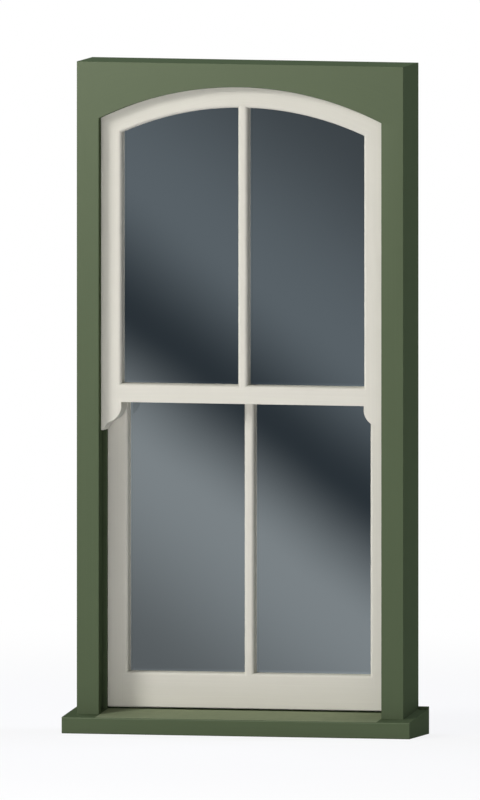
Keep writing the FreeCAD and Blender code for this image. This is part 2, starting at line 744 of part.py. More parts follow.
# Glazing beads hold the units from the room side, splayed towards the glass
upper_right_glazing_bead = new_body("upper_right_glazing_bead")
pad(upper_right_glazing_bead, "upper_bead_outside", "XZ_Plane", [
    (BAR_WEB, MEETING_TOP),
    (FACE_EDGE, MEETING_TOP),
    (FACE_EDGE, arch_level(FACE_RADIUS, FACE_EDGE)),
    (BAR_WEB, arch_level(FACE_RADIUS, BAR_WEB)),
], f"{UPPER_FACE} + glass_setback + glass_thickness", UPPER_BACK, {2: (FACE_RADIUS, True)})
pocket(upper_right_glazing_bead, "upper_bead_sight", "XZ_Plane", [
    (BAR, f"{MEETING_TOP} - ovolo"),
    (SIGHT, f"{MEETING_TOP} - ovolo"),
    (SIGHT, SIGHT_SPRING),
    (BAR, arch_level(SIGHT_RADIUS, BAR)),
], f"{UPPER_FACE} + glass_setback + glass_thickness", UPPER_BACK, {2: (SIGHT_RADIUS, True)})
splay(upper_right_glazing_bead, "upper_bead_splay", "bead_splay", sight_edges(UPPER_BACK))
upper_left_glazing_bead = mirrored("upper_left_glazing_bead", upper_right_glazing_bead)

lower_right_glazing_bead = new_body("lower_right_glazing_bead")
pad(lower_right_glazing_bead, "lower_bead_outside", "XZ_Plane", [
    (BAR_WEB, f"{BOTTOM_SIGHT} - ovolo"),
    (FACE_EDGE, f"{BOTTOM_SIGHT} - ovolo"),
    (FACE_EDGE, "meeting_height + ovolo"),
    (BAR_WEB, "meeting_height + ovolo"),
], f"{LOWER_FACE} + glass_setback + glass_thickness", LOWER_BACK)
pocket(lower_right_glazing_bead, "lower_bead_sight", "XZ_Plane", [
    (BAR, BOTTOM_SIGHT),
    (SIGHT, BOTTOM_SIGHT),
    (SIGHT, "meeting_height"),
    (BAR, "meeting_height"),
], f"{LOWER_FACE} + glass_setback + glass_thickness", LOWER_BACK)
splay(lower_right_glazing_bead, "lower_bead_splay", "bead_splay", sight_edges(LOWER_BACK))
lower_left_glazing_bead = mirrored("lower_left_glazing_bead", lower_right_glazing_bead)

# Sash fasteners: a base with its pin on the lower meeting rail, an arm that turns on
# the pin, and a hooked keep behind the glass of the upper sash. They stand closed.
PIVOT = f"({LOWER_FACE} + fastener_setback)"
PLATE_TOP = f"({MEETING_TOP} + fastener_plate)"
ARM_LOW = f"({PLATE_TOP} + fastener_fit)"
ARM_HIGH = f"({ARM_LOW} + arm_thickness)"
HEAD_LOW = f"({ARM_HIGH} + fastener_fit)"
HEAD_HIGH = f"({HEAD_LOW} + pin_head_height)"
HOLE = "(pin_radius + fastener_fit)"

right_fastener_base = new_body("right_fastener_base")
plate, plate_arcs = rounded(
    "fastener_offset", PIVOT, "fastener_half_length", "fastener_half_width", "fastener_corner")
pad(right_fastener_base, "base_plate", "XY_Plane", plate, MEETING_TOP, PLATE_TOP, plate_arcs)
spun(right_fastener_base, "pin", [
    ("0", MEETING_TOP),
    ("pin_radius", MEETING_TOP),
    ("pin_radius", HEAD_LOW),
    ("pin_head_radius", HEAD_LOW),
    ("pin_head_radius", HEAD_HIGH),
    ("0", HEAD_HIGH),
], {}, "fastener_offset", PIVOT)
left_fastener_base = mirrored("left_fastener_base", right_fastener_base)

right_fastener_arm = new_body("right_fastener_arm")
spun(right_fastener_arm, "hub", [
    (HOLE, ARM_LOW),
    ("hub_radius", ARM_LOW),
    ("hub_radius", ARM_HIGH),
    (HOLE, ARM_HIGH),
], {}, "fastener_offset", PIVOT)
pad(right_fastener_arm, "tongue", "XY_Plane", [
    ("fastener_offset + tongue_half_width", f"{PIVOT} - {HOLE} - tongue_half_width / 2"),
    ("fastener_offset - tongue_half_width", f"{PIVOT} - {HOLE} - tongue_half_width / 2"),
    ("fastener_offset - tongue_half_width", f"{PIVOT} - tongue_reach + tongue_half_width"),
    ("fastener_offset", f"{PIVOT} - tongue_reach"),
    ("fastener_offset + tongue_half_width", f"{PIVOT} - tongue_reach + tongue_half_width"),
], ARM_LOW, ARM_HIGH, {2: ("tongue_half_width", True), 3: ("tongue_half_width", True)})
pad(right_fastener_arm, "lever", "XY_Plane", [
    (f"fastener_offset + {HOLE} + tongue_half_width / 2", f"{PIVOT} - tongue_half_width"),
    ("fastener_offset + lever_reach - tongue_half_width", f"{PIVOT} - tongue_half_width"),
    ("fastener_offset + lever_reach", PIVOT),
    ("fastener_offset + lever_reach - tongue_half_width", f"{PIVOT} + tongue_half_width"),
    (f"fastener_offset + {HOLE} + tongue_half_width / 2", f"{PIVOT} + tongue_half_width"),
], ARM_LOW, ARM_HIGH, {1: ("tongue_half_width", True), 2: ("tongue_half_width", True)})
spun(right_fastener_arm, "knob", [
    ("0", ARM_LOW),
    ("knob_radius", ARM_LOW),
    ("knob_radius", f"{ARM_HIGH} + knob_height"),
    ("0", f"{ARM_HIGH} + knob_height"),
], {}, "fastener_offset + lever_reach - knob_radius", PIVOT)
left_fastener_arm = mirrored("left_fastener_arm", right_fastener_arm)

KEEP_FACE = f"({UPPER_FACE} + glass_setback + glass_thickness + keep_margin)"
KEEP_MIDDLE = f"({KEEP_FACE} + keep_depth / 2)"
HOOK_IN = "(tongue_half_width + hook_gap)"
HOOK_OUT = f"({HOOK_IN} + hook_bar)"
HOOK_LOW = f"({ARM_HIGH} + fastener_fit)"
HOOK_HIGH = f"({HOOK_LOW} + hook_bar)"
right_fastener_keep = new_body("right_fastener_keep")
keep, keep_arcs = rounded(
    "fastener_offset", KEEP_MIDDLE, "keep_half_length", "keep_depth / 2", "keep_depth / 4")
pad(right_fastener_keep, "keep_plate_pad", "XY_Plane", keep,
    MEETING_TOP, f"{MEETING_TOP} + keep_plate", keep_arcs)
pad(right_fastener_keep, "hook", "XZ_Plane", [
    (f"fastener_offset - {HOOK_OUT}", MEETING_TOP),
    (f"fastener_offset - {HOOK_IN}", MEETING_TOP),
    (f"fastener_offset - {HOOK_IN}", HOOK_LOW),
    (f"fastener_offset + {HOOK_IN}", HOOK_LOW),
    (f"fastener_offset + {HOOK_IN}", MEETING_TOP),
    (f"fastener_offset + {HOOK_OUT}", MEETING_TOP),
    (f"fastener_offset + {HOOK_OUT}", HOOK_LOW),
    (f"fastener_offset + {HOOK_IN}", HOOK_HIGH),
    (f"fastener_offset - {HOOK_IN}", HOOK_HIGH),
    (f"fastener_offset - {HOOK_OUT}", HOOK_LOW),
], f"{KEEP_FACE} + hook_margin", f"{KEEP_FACE} + keep_depth - hook_margin", {
    6: ("hook_bar", True),
    8: ("hook_bar", True),
})
left_fastener_keep = mirrored("left_fastener_keep", right_fastener_keep)

# Sash lifts: plates with a finger cup, let into the room face of the bottom rail
right_sash_lift = new_body("right_sash_lift")
lift, lift_arcs = rounded("lift_offset", "lift_level", "lift_half_length", "lift_half_height", "lift_corner")
pad(right_sash_lift, "lift_plate_pad", "XZ_Plane", lift,
    LOWER_BACK, f"{LOWER_BACK} + lift_plate", lift_arcs)
cup, cup_arcs = rounded("lift_offset", "lift_level", "cup_half_length", "cup_half_height", "cup_corner")
pad(right_sash_lift, "cup_outside", "XZ_Plane", cup, f"{LOWER_BACK} - cup_depth", LOWER_BACK, cup_arcs)
hollow, hollow_arcs = rounded(
    "lift_offset", "lift_level", "(cup_half_length - cup_wall)", "(cup_half_height - cup_wall)",
    "(cup_corner - cup_wall)")
pocket(right_sash_lift, "cup_inside", "XZ_Plane", hollow,
       f"{LOWER_BACK} - cup_depth + cup_wall", f"{LOWER_BACK} + lift_plate", hollow_arcs)
left_sash_lift = mirrored("left_sash_lift", right_sash_lift)

NODES = [
    sill, left_jamb, right_jamb, head,
    left_outer_lining, right_outer_lining, arched_outer_lining,
    left_parting_bead, right_parting_bead, arched_parting_bead,
    left_staff_bead, right_staff_bead, arched_staff_bead,
    upper_left_stile, upper_right_stile, upper_arched_rail, upper_meeting_rail, upper_glazing_bar,
    upper_left_pane, upper_right_pane, upper_left_glazing_bead, upper_right_glazing_bead,
    lower_left_stile, lower_right_stile, lower_meeting_rail, lower_bottom_rail, lower_glazing_bar,
    lower_left_pane, lower_right_pane, lower_left_glazing_bead, lower_right_glazing_bead,
    left_fastener_base, right_fastener_base, left_fastener_arm, right_fastener_arm,
    left_fastener_keep, right_fastener_keep, left_sash_lift, right_sash_lift,
]

doc.recompute()
for item in doc.Objects:
    if "Invalid" in item.State or "Error" in item.State:
        raise RuntimeError(f"{item.Label} did not build: {item.State}")
for node in NODES:
    if node.Shape.isNull() or not node.Shape.isValid():
        raise RuntimeError(f"{node.Label} has no valid shape")
    if len(node.Shape.Solids) != 1:
        raise RuntimeError(f"{node.Label} is {len(node.Shape.Solids)} solids")

os.makedirs("parts", exist_ok=True)
for node in NODES:
    node.Shape.exportStep(f"parts/{node.Label}.step")
print(len(NODES), "sub-parts written")
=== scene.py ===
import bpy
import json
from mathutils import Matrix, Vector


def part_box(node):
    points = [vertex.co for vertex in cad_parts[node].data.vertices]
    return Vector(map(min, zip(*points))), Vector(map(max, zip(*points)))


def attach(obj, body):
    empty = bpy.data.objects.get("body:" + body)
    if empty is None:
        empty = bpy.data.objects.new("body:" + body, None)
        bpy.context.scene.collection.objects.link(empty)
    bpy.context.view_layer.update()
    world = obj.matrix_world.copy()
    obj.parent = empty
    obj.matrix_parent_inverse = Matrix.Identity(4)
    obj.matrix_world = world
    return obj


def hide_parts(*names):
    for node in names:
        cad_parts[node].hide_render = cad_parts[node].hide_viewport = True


bl_info = {
    "name": "Arched Sash Window",
    "version": (1, 0, 0),
    "blender": (4, 5, 0),
    "location": "3D View > Sidebar > Sash Window",
    "description": "Paints, glazes and fits out a vertical sliding sash window with an arched head",
    "category": "Object",
}

import json
import math

import bmesh
import bpy
from bpy.props import FloatProperty, FloatVectorProperty, IntProperty, PointerProperty
from mathutils import Matrix, Vector
from mathutils.bvhtree import BVHTree

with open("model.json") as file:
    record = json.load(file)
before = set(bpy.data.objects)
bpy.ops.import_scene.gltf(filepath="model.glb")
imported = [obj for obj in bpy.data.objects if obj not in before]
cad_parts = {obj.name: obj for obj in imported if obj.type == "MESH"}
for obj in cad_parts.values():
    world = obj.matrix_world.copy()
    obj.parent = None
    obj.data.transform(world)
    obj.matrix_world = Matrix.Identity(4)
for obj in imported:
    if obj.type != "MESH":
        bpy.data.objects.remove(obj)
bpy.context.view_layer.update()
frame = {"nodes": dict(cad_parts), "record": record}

SLOT_OF = {node["node"]: node["material_slot"] for node in frame["record"]["subparts"]}
MM = 0.001


def nodes_in(slot):
    """Names of the window's solids that take this finish."""
    return [name for name, used in SLOT_OF.items() if used == slot]


# Node trees


class Value:
    """A socket that adds Math nodes when it is used in a sum."""

    def __init__(self, maker, socket):
        self.maker = maker
        self.socket = socket

    def joined(self, operation, first, second):
        return self.maker.add("ShaderNodeMath", {"operation": operation}, {0: first, 1: second})

    def __add__(self, other):
        return self.joined("ADD", self, other)

    def __radd__(self, other):
        return self.joined("ADD", other, self)

    def __sub__(self, other):
        return self.joined("SUBTRACT", self, other)

    def __rsub__(self, other):
        return self.joined("SUBTRACT", other, self)

    def __mul__(self, other):
        return self.joined("MULTIPLY", self, other)

    def __rmul__(self, other):
        return self.joined("MULTIPLY", other, self)

    def __truediv__(self, other):
        return self.joined("DIVIDE", self, other)

    def __rtruediv__(self, other):
        return self.joined("DIVIDE", other, self)


class NodeMaker:
    """Adds nodes to a tree, each from its type, its settings and its sockets."""

    def __init__(self, tree):
        self.tree = tree

    def add(self, kind, settings=None, sockets=None, outputs=0):
        """The named output of a new node, or several where a tuple names them."""
        node = self.tree.nodes.new(kind)
        for name, value in (settings or {}).items():
            if name == "stops":
                self.set_stops(node.color_ramp, value)
            else:
                setattr(node, name, value)
        for name, value in (sockets or {}).items():
            if isinstance(value, Value):
                self.tree.links.new(value.socket, node.inputs[name])
            else:
                node.inputs[name].default_value = value
        if not len(node.outputs):
            return None
        if isinstance(outputs, tuple):
            return tuple(Value(self, node.outputs[output]) for output in outputs)
        return Value(self, node.outputs[outputs])

    def set_stops(self, ramp, stops):
        """Gives a colour ramp its stops, with soft steps between them."""
        while len(ramp.elements) < len(stops):
            ramp.elements.new(1.0)
        ramp.interpolation = "EASE"
        for element, (place, colour) in zip(ramp.elements, stops):
            element.position = place
            element.color = (*colour, 1.0)

    def function(self, operation, value, other=0.0):
        return self.add("ShaderNodeMath", {"operation": operation}, {0: value, 1: other})

    def vector(self, operation, first, second, socket=1):
        return self.add(
            "ShaderNodeVectorMath", {"operation": operation}, {0: first, socket: second})

    def length(self, vector):
        return self.add("ShaderNodeVectorMath", {"operation": "LENGTH"}, {0: vector}, "Value")

    def split(self, vector):
        return self.add("ShaderNodeSeparateXYZ", {}, {0: vector}, (0, 1, 2))

    def noise(self, vector, scale, detail=2.0, output="Fac"):
        return self.add(
            "ShaderNodeTexNoise", {}, {"Vector": vector, "Scale": scale, "Detail": detail}, output)

    def fade(self, value, start, end, to=1.0):
        """Rises smoothly from 0 at start to the last value at end."""
        return self.add("ShaderNodeMapRange", {"interpolation_type": "SMOOTHSTEP"}, {
            "Value": value, "From Min": start, "From Max": end, "To Max": to})

    def mix(self, factor, first, second):
        return self.add(
            "ShaderNodeMix", {"data_type": "RGBA"}, {0: factor, 6: first, 7: second}, 2)

    def attribute(self, name, output):
        return self.add("ShaderNodeAttribute", {"attribute_name": name}, {}, output)

    def kept(self, name, kind):
        """An attribute of the shape that a Geometry Nodes tree works on."""
        return self.add("GeometryNodeInputNamedAttribute", {"data_type": kind}, {"Name": name})

    def place(self):
        return self.add("ShaderNodeTexCoord", {}, {}, "Object")

    def bump(self, height, strength, distance):
        return self.add("ShaderNodeBump", {}, {
            "Strength": strength, "Distance": distance, "Height": height}, "Normal")


def new_material(name):
    material = bpy.data.materials.new(name)
    material.use_nodes = True
    material.node_tree.nodes.clear()
    return material, NodeMaker(material.node_tree)


def new_shape_tree(name, sizes):
    """A Geometry Nodes tree, with an input for the shape it starts from and one for each size."""
    tree = bpy.data.node_groups.new(name, "GeometryNodeTree")
    tree.interface.new_socket("Shape", in_out="INPUT", socket_type="NodeSocketGeometry")
    for label, kind in sizes.items():
        tree.interface.new_socket(label, in_out="INPUT", socket_type="NodeSocket" + kind)
    tree.interface.new_socket("Shape", in_out="OUTPUT", socket_type="NodeSocketGeometry")
    make = NodeMaker(tree)
    return tree, make, make.add("NodeGroupInput", outputs=("Shape", *sizes))


def finish_shape_tree(make, shape, material):
    """Ends the tree with real geometry in one material."""
    real = make.add("GeometryNodeRealizeInstances", {}, {0: shape})
    coated = make.add("GeometryNodeSetMaterial", {}, {"Geometry": real, "Material": material})
    make.add("NodeGroupOutput", {}, {0: coated})


def grown(name, mesh, tree, values):
    """The plain mesh that the tree makes of a starting mesh."""
    piece = bpy.data.objects.new(name, mesh)
    bpy.context.scene.collection.objects.link(piece)
    modifier = piece.modifiers.new(tree.name, "NODES")
    modifier.node_group = tree
    for item in tree.interface.items_tree:
        if item.in_out == "INPUT" and item.name in values:
            modifier[item.identifier] = values[item.name]
    return frozen(piece)


# Finishes

# Waves per metre of the noises; those with three values run along a member and across it.
BRUSH_WAVES = (2.2, 420.0, 420.0)
TIMBER_WAVES = (1.4, 140.0, 140.0)
WANDER_WAVES = 3.0
MOTTLE_WAVES = 4.0
PATCH_WAVES = 38.0
SMEAR_WAVES = (9.0, 30.0, 30.0)
RIPPLE_WAVES = 7.0
CLOUD_WAVES = 3.0
POLISH_WAVES = (60.0, 2400.0, 2400.0)
BLOOM_WAVES = 90.0
FINGER_WAVES = 240.0
DUST_WAVES = 30.0

# Distance from the middle within which the painted reflection of the bottom rail on the sill is
# strongest
FULL_REFLECTION = 0.18


def paint_finish(name, paint, half_opening=None):
    """Brushed satin paint over timber: brush marks and faint grain run along each member.

    The sill's paint takes half the width between the linings and gets a painted reflection of the
    lower sash's bottom rail there.
    """
    material, make = new_material(name)
    grain = make.attribute("grain", "Vector")
    wander = make.vector("SCALE", make.noise(grain, WANDER_WAVES, 1.0, "Color"), 6 * MM, "Scale")
    wavy = make.vector("ADD", grain, wander)
    brush = make.noise(make.vector("MULTIPLY", wavy, BRUSH_WAVES), 1.0, 3.0)
    rings = make.noise(make.vector("MULTIPLY", wavy, TIMBER_WAVES), 1.0, 4.0)
    mottle = make.noise(make.place(), MOTTLE_WAVES, 3.0)
    patches = make.noise(grain, PATCH_WAVES, 4.0)
    shade = (brush - 0.5) * paint.brush_tone + (mottle - 0.5) * paint.mottle_tone + 0.5
    body = make.mix(shade, tone(paint.colour, 0.8), tone(paint.colour, 1.2))
    worn = make.attribute("arris", "Fac") * make.fade(patches, 0.48, 0.62, paint.wear)
    colour = make.mix(worn, body, tone(paint.colour, 1.55))
    roughness = paint.roughness + (brush - 0.5) * 0.12 + (mottle - 0.5) * 0.1
    relief = brush * paint.brush_depth + rings * paint.grain_depth + patches * 0.03
    bump = make.bump(relief, 0.35, 0.25 * MM)
    towards = 1 - make.add("ShaderNodeLayerWeight", {}, {"Blend": 0.5}, "Facing")
    film = towards * towards * paint.sheen
    if half_opening:
        # Painted reflection: the sill's top between the linings is pulled towards a pale colour
        # that stands in for the lower sash's bottom rail seen in the paint.
        dust_and_reflection = rail_reflection_mask(make, half_opening) * (0.8 + patches * 0.4)
        colour = make.mix(dust_and_reflection, colour, tone(paint.dust_and_reflection, 1.0))
    shader = make.add("ShaderNodeBsdfPrincipled", {}, {
        "Base Color": colour, "Roughness": roughness, "Specular IOR Level": 0.0, "Normal": bump,
        "Coat Weight": film, "Coat Roughness": paint.film_roughness})
    make.add("ShaderNodeOutputMaterial", {}, {"Surface": shader})
    return material


def rail_reflection_mask(make, half_opening):
    """Mask of the sill's top between the linings, where the paint gets a painted reflection of the
    lower sash's bottom rail, weaker towards the ends.
    """
    across, depth, _ = make.split(make.place())
    across = make.function("ABSOLUTE", across)
    between = make.fade(across, half_opening, half_opening - 3 * MM)
    behind_nose = make.fade(depth, NOSE + 1 * MM, NOSE + 3 * MM)
    before_sash = make.fade(depth, SASH_FACE + 3 * MM, SASH_FACE)
    weaker_at_ends = 1 - make.fade(across, FULL_REFLECTION, half_opening, 0.25)
    return between * behind_nose * before_sash * weaker_at_ends


def glass_finish(name, glass):
    """Dark sealed unit with a painted reflection of a sky and a street in soft, slanted bands,
    partly given out as painted glow.
    """
    material, make = new_material(name)
    place = make.place()
    across, depth, up = make.split(place)
    cloud = make.noise(place, CLOUD_WAVES)
    slant = up + across * glass.slant + depth * glass.lean + (cloud - 0.5) * glass.drift
    level = (slant - glass.band_low) / (glass.band_high - glass.band_low)
    # The tones are a painted reflection: bands of sky and street laid over the glass by height and
    # slant.
    tones = make.add("ShaderNodeValToRGB", {"stops": [
        (0.0, tone(glass.light, glass.lowest_share)[:3]),
        (glass.lower_ridge, tuple(glass.light)),
        (glass.valley, tuple(glass.dark)),
        (glass.upper_ridge, tuple(glass.middle)),
        (1.0, tone(glass.middle, glass.highest_share)[:3]),
    ]}, {"Fac": level}, "Color")
    # Painted reflection: the tones are made lighter along the left and lower edge of each pane,
    # where the moulding shows in the glass.
    moulding_reflection = painted_moulding_reflection(make, across, up)
    tones = make.vector("SCALE", tones, 1 + moulding_reflection * glass.edge_reflection, "Scale")
    smears = make.noise(make.vector("MULTIPLY", place, SMEAR_WAVES), 1.0, 4.0)
    ripple = make.bump(make.noise(place, RIPPLE_WAVES, 1.0), 0.03, 0.3 * MM)
    # Part of the tones is emitted as a painted glow, so the glass shows them whatever lamps fall on
    # it; the rest is reflectance.
    shader = make.add("ShaderNodeBsdfPrincipled", {}, {
        "Base Color": make.vector("SCALE", tones, 1 - glass.painted_glow, "Scale"),
        "Metallic": 1.0,
        "Roughness": smears * 0.04 + 0.01,
        "Emission Color": tones,
        "Emission Strength": glass.painted_glow,
        "Normal": ripple})
    make.add("ShaderNodeOutputMaterial", {}, {"Surface": shader})
    return material


def painted_moulding_reflection(make, across, up, width=9 * MM):
    """Mask of the strips along each pane's left and lower edge that get a painted reflection of the
    sash moulding.
    """
    edges = [(across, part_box(name)[1].x) for name in ("upper_left_stile", "upper_glazing_bar")]
    edges += [(up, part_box(name)[1].z) for name in ("lower_bottom_rail", "upper_meeting_rail")]
    mask = 0.0
    for value, edge in edges:
        past = value - edge
        strip = make.fade(past, width, 0.0) * make.fade(past, -4 * MM, -1 * MM)
        mask = make.function("MAXIMUM", strip, mask)
    return mask


def brass_finish(name, brass):
    """Satin brass: fine lines of the polishing belt, browner where no hand rubs it."""
    material, make = new_material(name)
    place = make.place()
    lines = make.noise(make.vector("MULTIPLY", place, POLISH_WAVES), 1.0, 3.0)
    bloom = make.noise(place, BLOOM_WAVES, 4.0)
    rubbed = make.attribute("arris", "Fac")
    tarnish = make.fade(bloom, 0.4, 0.7, brass.tarnish) * (1 - rubbed)
    colour = make.mix(tarnish, tone(brass.colour, 1.0), tone(brass.colour, 0.45))
    shader = make.add("ShaderNodeBsdfPrincipled", {}, {
        "Base Color": colour,
        "Metallic": 1.0,
        "Roughness": brass.roughness + (lines - 0.5) * 0.2 + tarnish * 0.2,
        "Normal": make.bump(lines, 0.2, 0.05 * MM)})
    make.add("ShaderNodeOutputMaterial", {}, {"Surface": shader})
    return material


def sealant_finish(name, seal):
    """Dull elastic sealant, smoothed along its length with a finger."""
    material, make = new_material(name)
    place = make.place()
    smooth = make.noise(place, FINGER_WAVES, 3.0)
    dust_and_reflection = make.noise(place, DUST_WAVES, 4.0)
    shader = make.add("ShaderNodeBsdfPrincipled", {}, {
        "Base Color": make.mix(dust_and_reflection, tone(seal.colour, 0.85), tone(seal.colour, 1.15)),
        "Roughness": 0.5 + (smooth - 0.5) * 0.2,
        "Specular IOR Level": 0.2,
        "Normal": make.bump(smooth, 0.3, 0.1 * MM)})
    make.add("ShaderNodeOutputMaterial", {}, {"Surface": shader})
    return material


def tone(colour, share):
    """The colour, lighter or darker by a share."""
    return tuple(min(channel * share, 1.0) for channel in colour) + (1.0,)


# Places of the arch, the glass and the screws


def arch_centre():
    """Height of the point that every arc of the head is struck from."""
    points = [vertex.co for vertex in frame["nodes"]["arched_staff_bead"].data.vertices]
    end = max(points, key=lambda point: point.x)
    crown = max(points, key=lambda point: point.z)
    squares = (end.x ** 2 + end.z ** 2) - (crown.x ** 2 + crown.z ** 2)
    return squares / (2 * (end.z - crown.z))


ARCH_CENTRE = arch_centre()
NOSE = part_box("sill")[0].y
SASH_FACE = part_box("lower_bottom_rail")[0].y


def radii_of(name):
    """Smallest and largest distance of an arched piece from the arch's centre."""
    points = [vertex.co for vertex in frame["nodes"][name].data.vertices]
    radii = [math.hypot(point.x, point.z - ARCH_CENTRE) for point in points]
    return min(radii), max(radii)


def quarter(middle, radius, first, steps=8):
    """Points of a quarter circle, from an angle on, as depth and height."""
    depth, height = middle
    turns = [first + math.pi / 2 * step / steps for step in range(steps + 1)]
    return [(depth + radius * math.cos(turn), height + radius * math.sin(turn)) for turn in turns]


def sight_outline(sash, side, grow, depth, steps=32):
    """Outline of the glass that shows in one light, made larger all round, at a depth."""
    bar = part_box(f"{sash}_glazing_bar")[1].x - grow
    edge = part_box(f"{sash}_right_stile")[0].x + grow
    if sash == "lower":
        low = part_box("lower_bottom_rail")[1].z - grow
        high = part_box("lower_meeting_rail")[0].z + grow
        corners = [(bar, low), (edge, low), (edge, high), (bar, high)]
    else:
        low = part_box("upper_meeting_rail")[1].z - grow
        radius = radii_of("upper_arched_rail")[0] + grow
        last, first = math.asin(bar / radius), math.asin(edge / radius)
        corners = [(bar, low), (edge, low)]
        for step in range(steps + 1):
            turn = first + (last - first) * step / steps
            corners.append((radius * math.sin(turn), ARCH_CENTRE + radius * math.cos(turn)))
    return [(side * across, depth, up) for across, up in corners]


def loop_mesh(name, outlines):
    """Edges round each closed outline."""
    corners = []
    edges = []
    for outline in outlines:
        start = len(corners)
        count = len(outline)
        corners += outline
        edges += [(start + index, start + (index + 1) % count) for index in range(count)]
    mesh = bpy.data.meshes.new(name)
    mesh.from_pydata(corners, edges, [])
    return mesh


# Screws, from the middle of a plate, as shares of its sides
BASE_SHARES = (0.34, 0.33)
KEEP_SHARE = 0.39
LIFT_SHARES = (0.4375, 0.355)


def plate_screws(name, thickness):
    """Two screws on a diagonal of the fastener's base, clear of its lever."""
    low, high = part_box(name)
    middle = (low + high) / 2
    across = math.copysign((high.x - low.x) * BASE_SHARES[0], middle.x)
    deep = (high.y - low.y) * BASE_SHARES[1]
    top = low.z + thickness
    return [(middle.x + way * across, middle.y + way * deep, top) for way in (-1, 1)]


def keep_screws(name, thickness):
    """One screw each side of the keep's hook."""
    low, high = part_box(name)
    middle = (low + high) / 2
    across = (high.x - low.x) * KEEP_SHARE
    return [(middle.x + way * across, middle.y, low.z + thickness) for way in (-1, 1)]


def lift_screws(name):
    """Four screws in the corners of the lift's plate."""
    low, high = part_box(name)
    middle = (low + high) / 2
    across, up = (high.x - low.x) * LIFT_SHARES[0], (high.z - low.z) * LIFT_SHARES[1]
    corners = [(way, rise) for way in (-1, 1) for rise in (-1, 1)]
    return [(middle.x + way * across, high.y, middle.z + rise * up) for way, rise in corners]


# Shapes that follow a path or repeat


def arched_moulding_tree():
    """Sweeps a section round the arch and mitres both ends."""
    tree, make, inputs = new_shape_tree("arched_moulding", {
        "Centre": "Float", "Mitre turn": "Float", "Mitre distance": "Float", "Side": "Float",
        "Steps": "Int", "Material": "Material"})
    shape, centre, mitre_turn, mitre_distance, side, steps, material = inputs
    section = make.add("GeometryNodeMeshToCurve", {}, {"Mesh": shape})
    way = make.add(
        "GeometryNodeCurvePrimitiveLine", {}, {"Start": (-1.0, 0.0, 0.0), "End": (1.0, 0.0, 0.0)})
    way = make.add("GeometryNodeResampleCurve", {}, {"Curve": way, "Count": steps})
    straight = make.add("GeometryNodeCurveToMesh", {}, {
        "Curve": way, "Profile Curve": section, "Fill Caps": True})
    share = make.split(make.add("GeometryNodeInputPosition"))[0]
    depth = make.kept("section_depth", "FLOAT")
    radius = make.kept("section_radius", "FLOAT")
    mitred = mitre_turn + make.function("ARCCOSINE", mitre_distance / radius)
    plumb = make.function("ARCSINE", side / radius)
    angle = share * make.function("MINIMUM", mitred, plumb)
    across = radius * make.function("SINE", angle)
    up = centre + radius * make.function("COSINE", angle)
    bent = make.add("ShaderNodeCombineXYZ", {}, {0: across, 1: depth, 2: up})
    arc = make.add("GeometryNodeSetPosition", {}, {"Geometry": straight, "Position": bent})
    finish_shape_tree(make, arc, material)
    return tree


def cut_at(section, radius):
    """The section with a point wherever its outline crosses a radius."""
    points = []
    for start, end in zip(section, section[1:] + section[:1]):
        points.append(start)
        near, far = sorted((start[1], end[1]))
        if near + 0.1 * MM < radius < far - 0.1 * MM:
            share = (radius - start[1]) / (end[1] - start[1])
            points.append((start[0] + (end[0] - start[0]) * share, radius))
    return points


def arched_moulding(name, upright, section, steps):
    """The moulding's mesh, mitred to the upright piece on the right."""
    low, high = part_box(upright)
    radius = radii_of(name)[0]
    inner = Vector((low.x, math.sqrt(radius ** 2 - low.x ** 2)))
    outer = Vector((high.x, high.z - ARCH_CENTRE))
    along = (outer - inner).normalized()
    out = Vector((-along.y, along.x))
    section = cut_at(section, outer.length)
    mesh = loop_mesh(name + "_section", [[(depth, height, 0.0) for depth, height in section]])
    for index, label in enumerate(("section_depth", "section_radius")):
        values = mesh.attributes.new(label, "FLOAT", "POINT")
        for point, corner in zip(values.data, section):
            point.value = corner[index]
    piece = grown(name + "_swept", mesh, arched_moulding_tree(), {
        "Centre": ARCH_CENTRE, "Mitre turn": math.atan2(out.x, out.y),
        "Mitre distance": out.dot(inner), "Side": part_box(name)[1].x, "Steps": steps})
    swept = piece.data
    bpy.data.objects.remove(piece)
    return swept


def screw_tree():
    """Sets a slotted countersunk screw on each point, each turned by its own chance angle."""
    tree, make, inputs = new_shape_tree("slotted_screws", {
        "Head radius": "Float", "Head depth": "Float", "Slot width": "Float", "Slot depth": "Float",
        "Proud": "Float", "Seed": "Int", "Material": "Material"})
    shape, head_radius, head_depth, slot_width, slot_depth, proud, seed, material = inputs
    head = make.add("GeometryNodeMeshCone", {}, {
        "Vertices": 24, "Radius Top": head_radius, "Radius Bottom": head_radius * 0.5,
        "Depth": head_depth})
    sunk = make.add("ShaderNodeCombineXYZ", {}, {2: proud - head_depth})
    head = make.add("GeometryNodeTransform", {}, {"Geometry": head, "Translation": sunk})
    cut = make.add(
        "ShaderNodeCombineXYZ", {}, {0: head_radius * 3.0, 1: slot_width, 2: slot_depth * 2.0})
    slot = make.add("GeometryNodeMeshCube", {}, {"Size": cut})
    high = make.add("ShaderNodeCombineXYZ", {}, {2: proud})
    slot = make.add("GeometryNodeTransform", {}, {"Geometry": slot, "Translation": high})
    slotted = make.add(
        "GeometryNodeMeshBoolean", {"operation": "DIFFERENCE"}, {"Mesh 1": head, "Mesh 2": slot})
    chance = make.add("FunctionNodeRandomValue", {"data_type": "FLOAT"}, {
        2: 0.0, 3: math.pi, "Seed": seed}, 1)
    spin = make.add(
        "FunctionNodeEulerToRotation", {}, {0: make.add("ShaderNodeCombineXYZ", {}, {2: chance})})
    facing = make.kept("facing", "FLOAT_VECTOR")
    turn = make.add(
        "FunctionNodeAlignRotationToVector", {"axis": "Z"}, {"Rotation": spin, "Vector": facing})
    screws = make.add("GeometryNodeInstanceOnPoints", {}, {
        "Points": shape, "Instance": slotted, "Rotation": turn})
    finish_shape_tree(make, screws, material)
    return tree


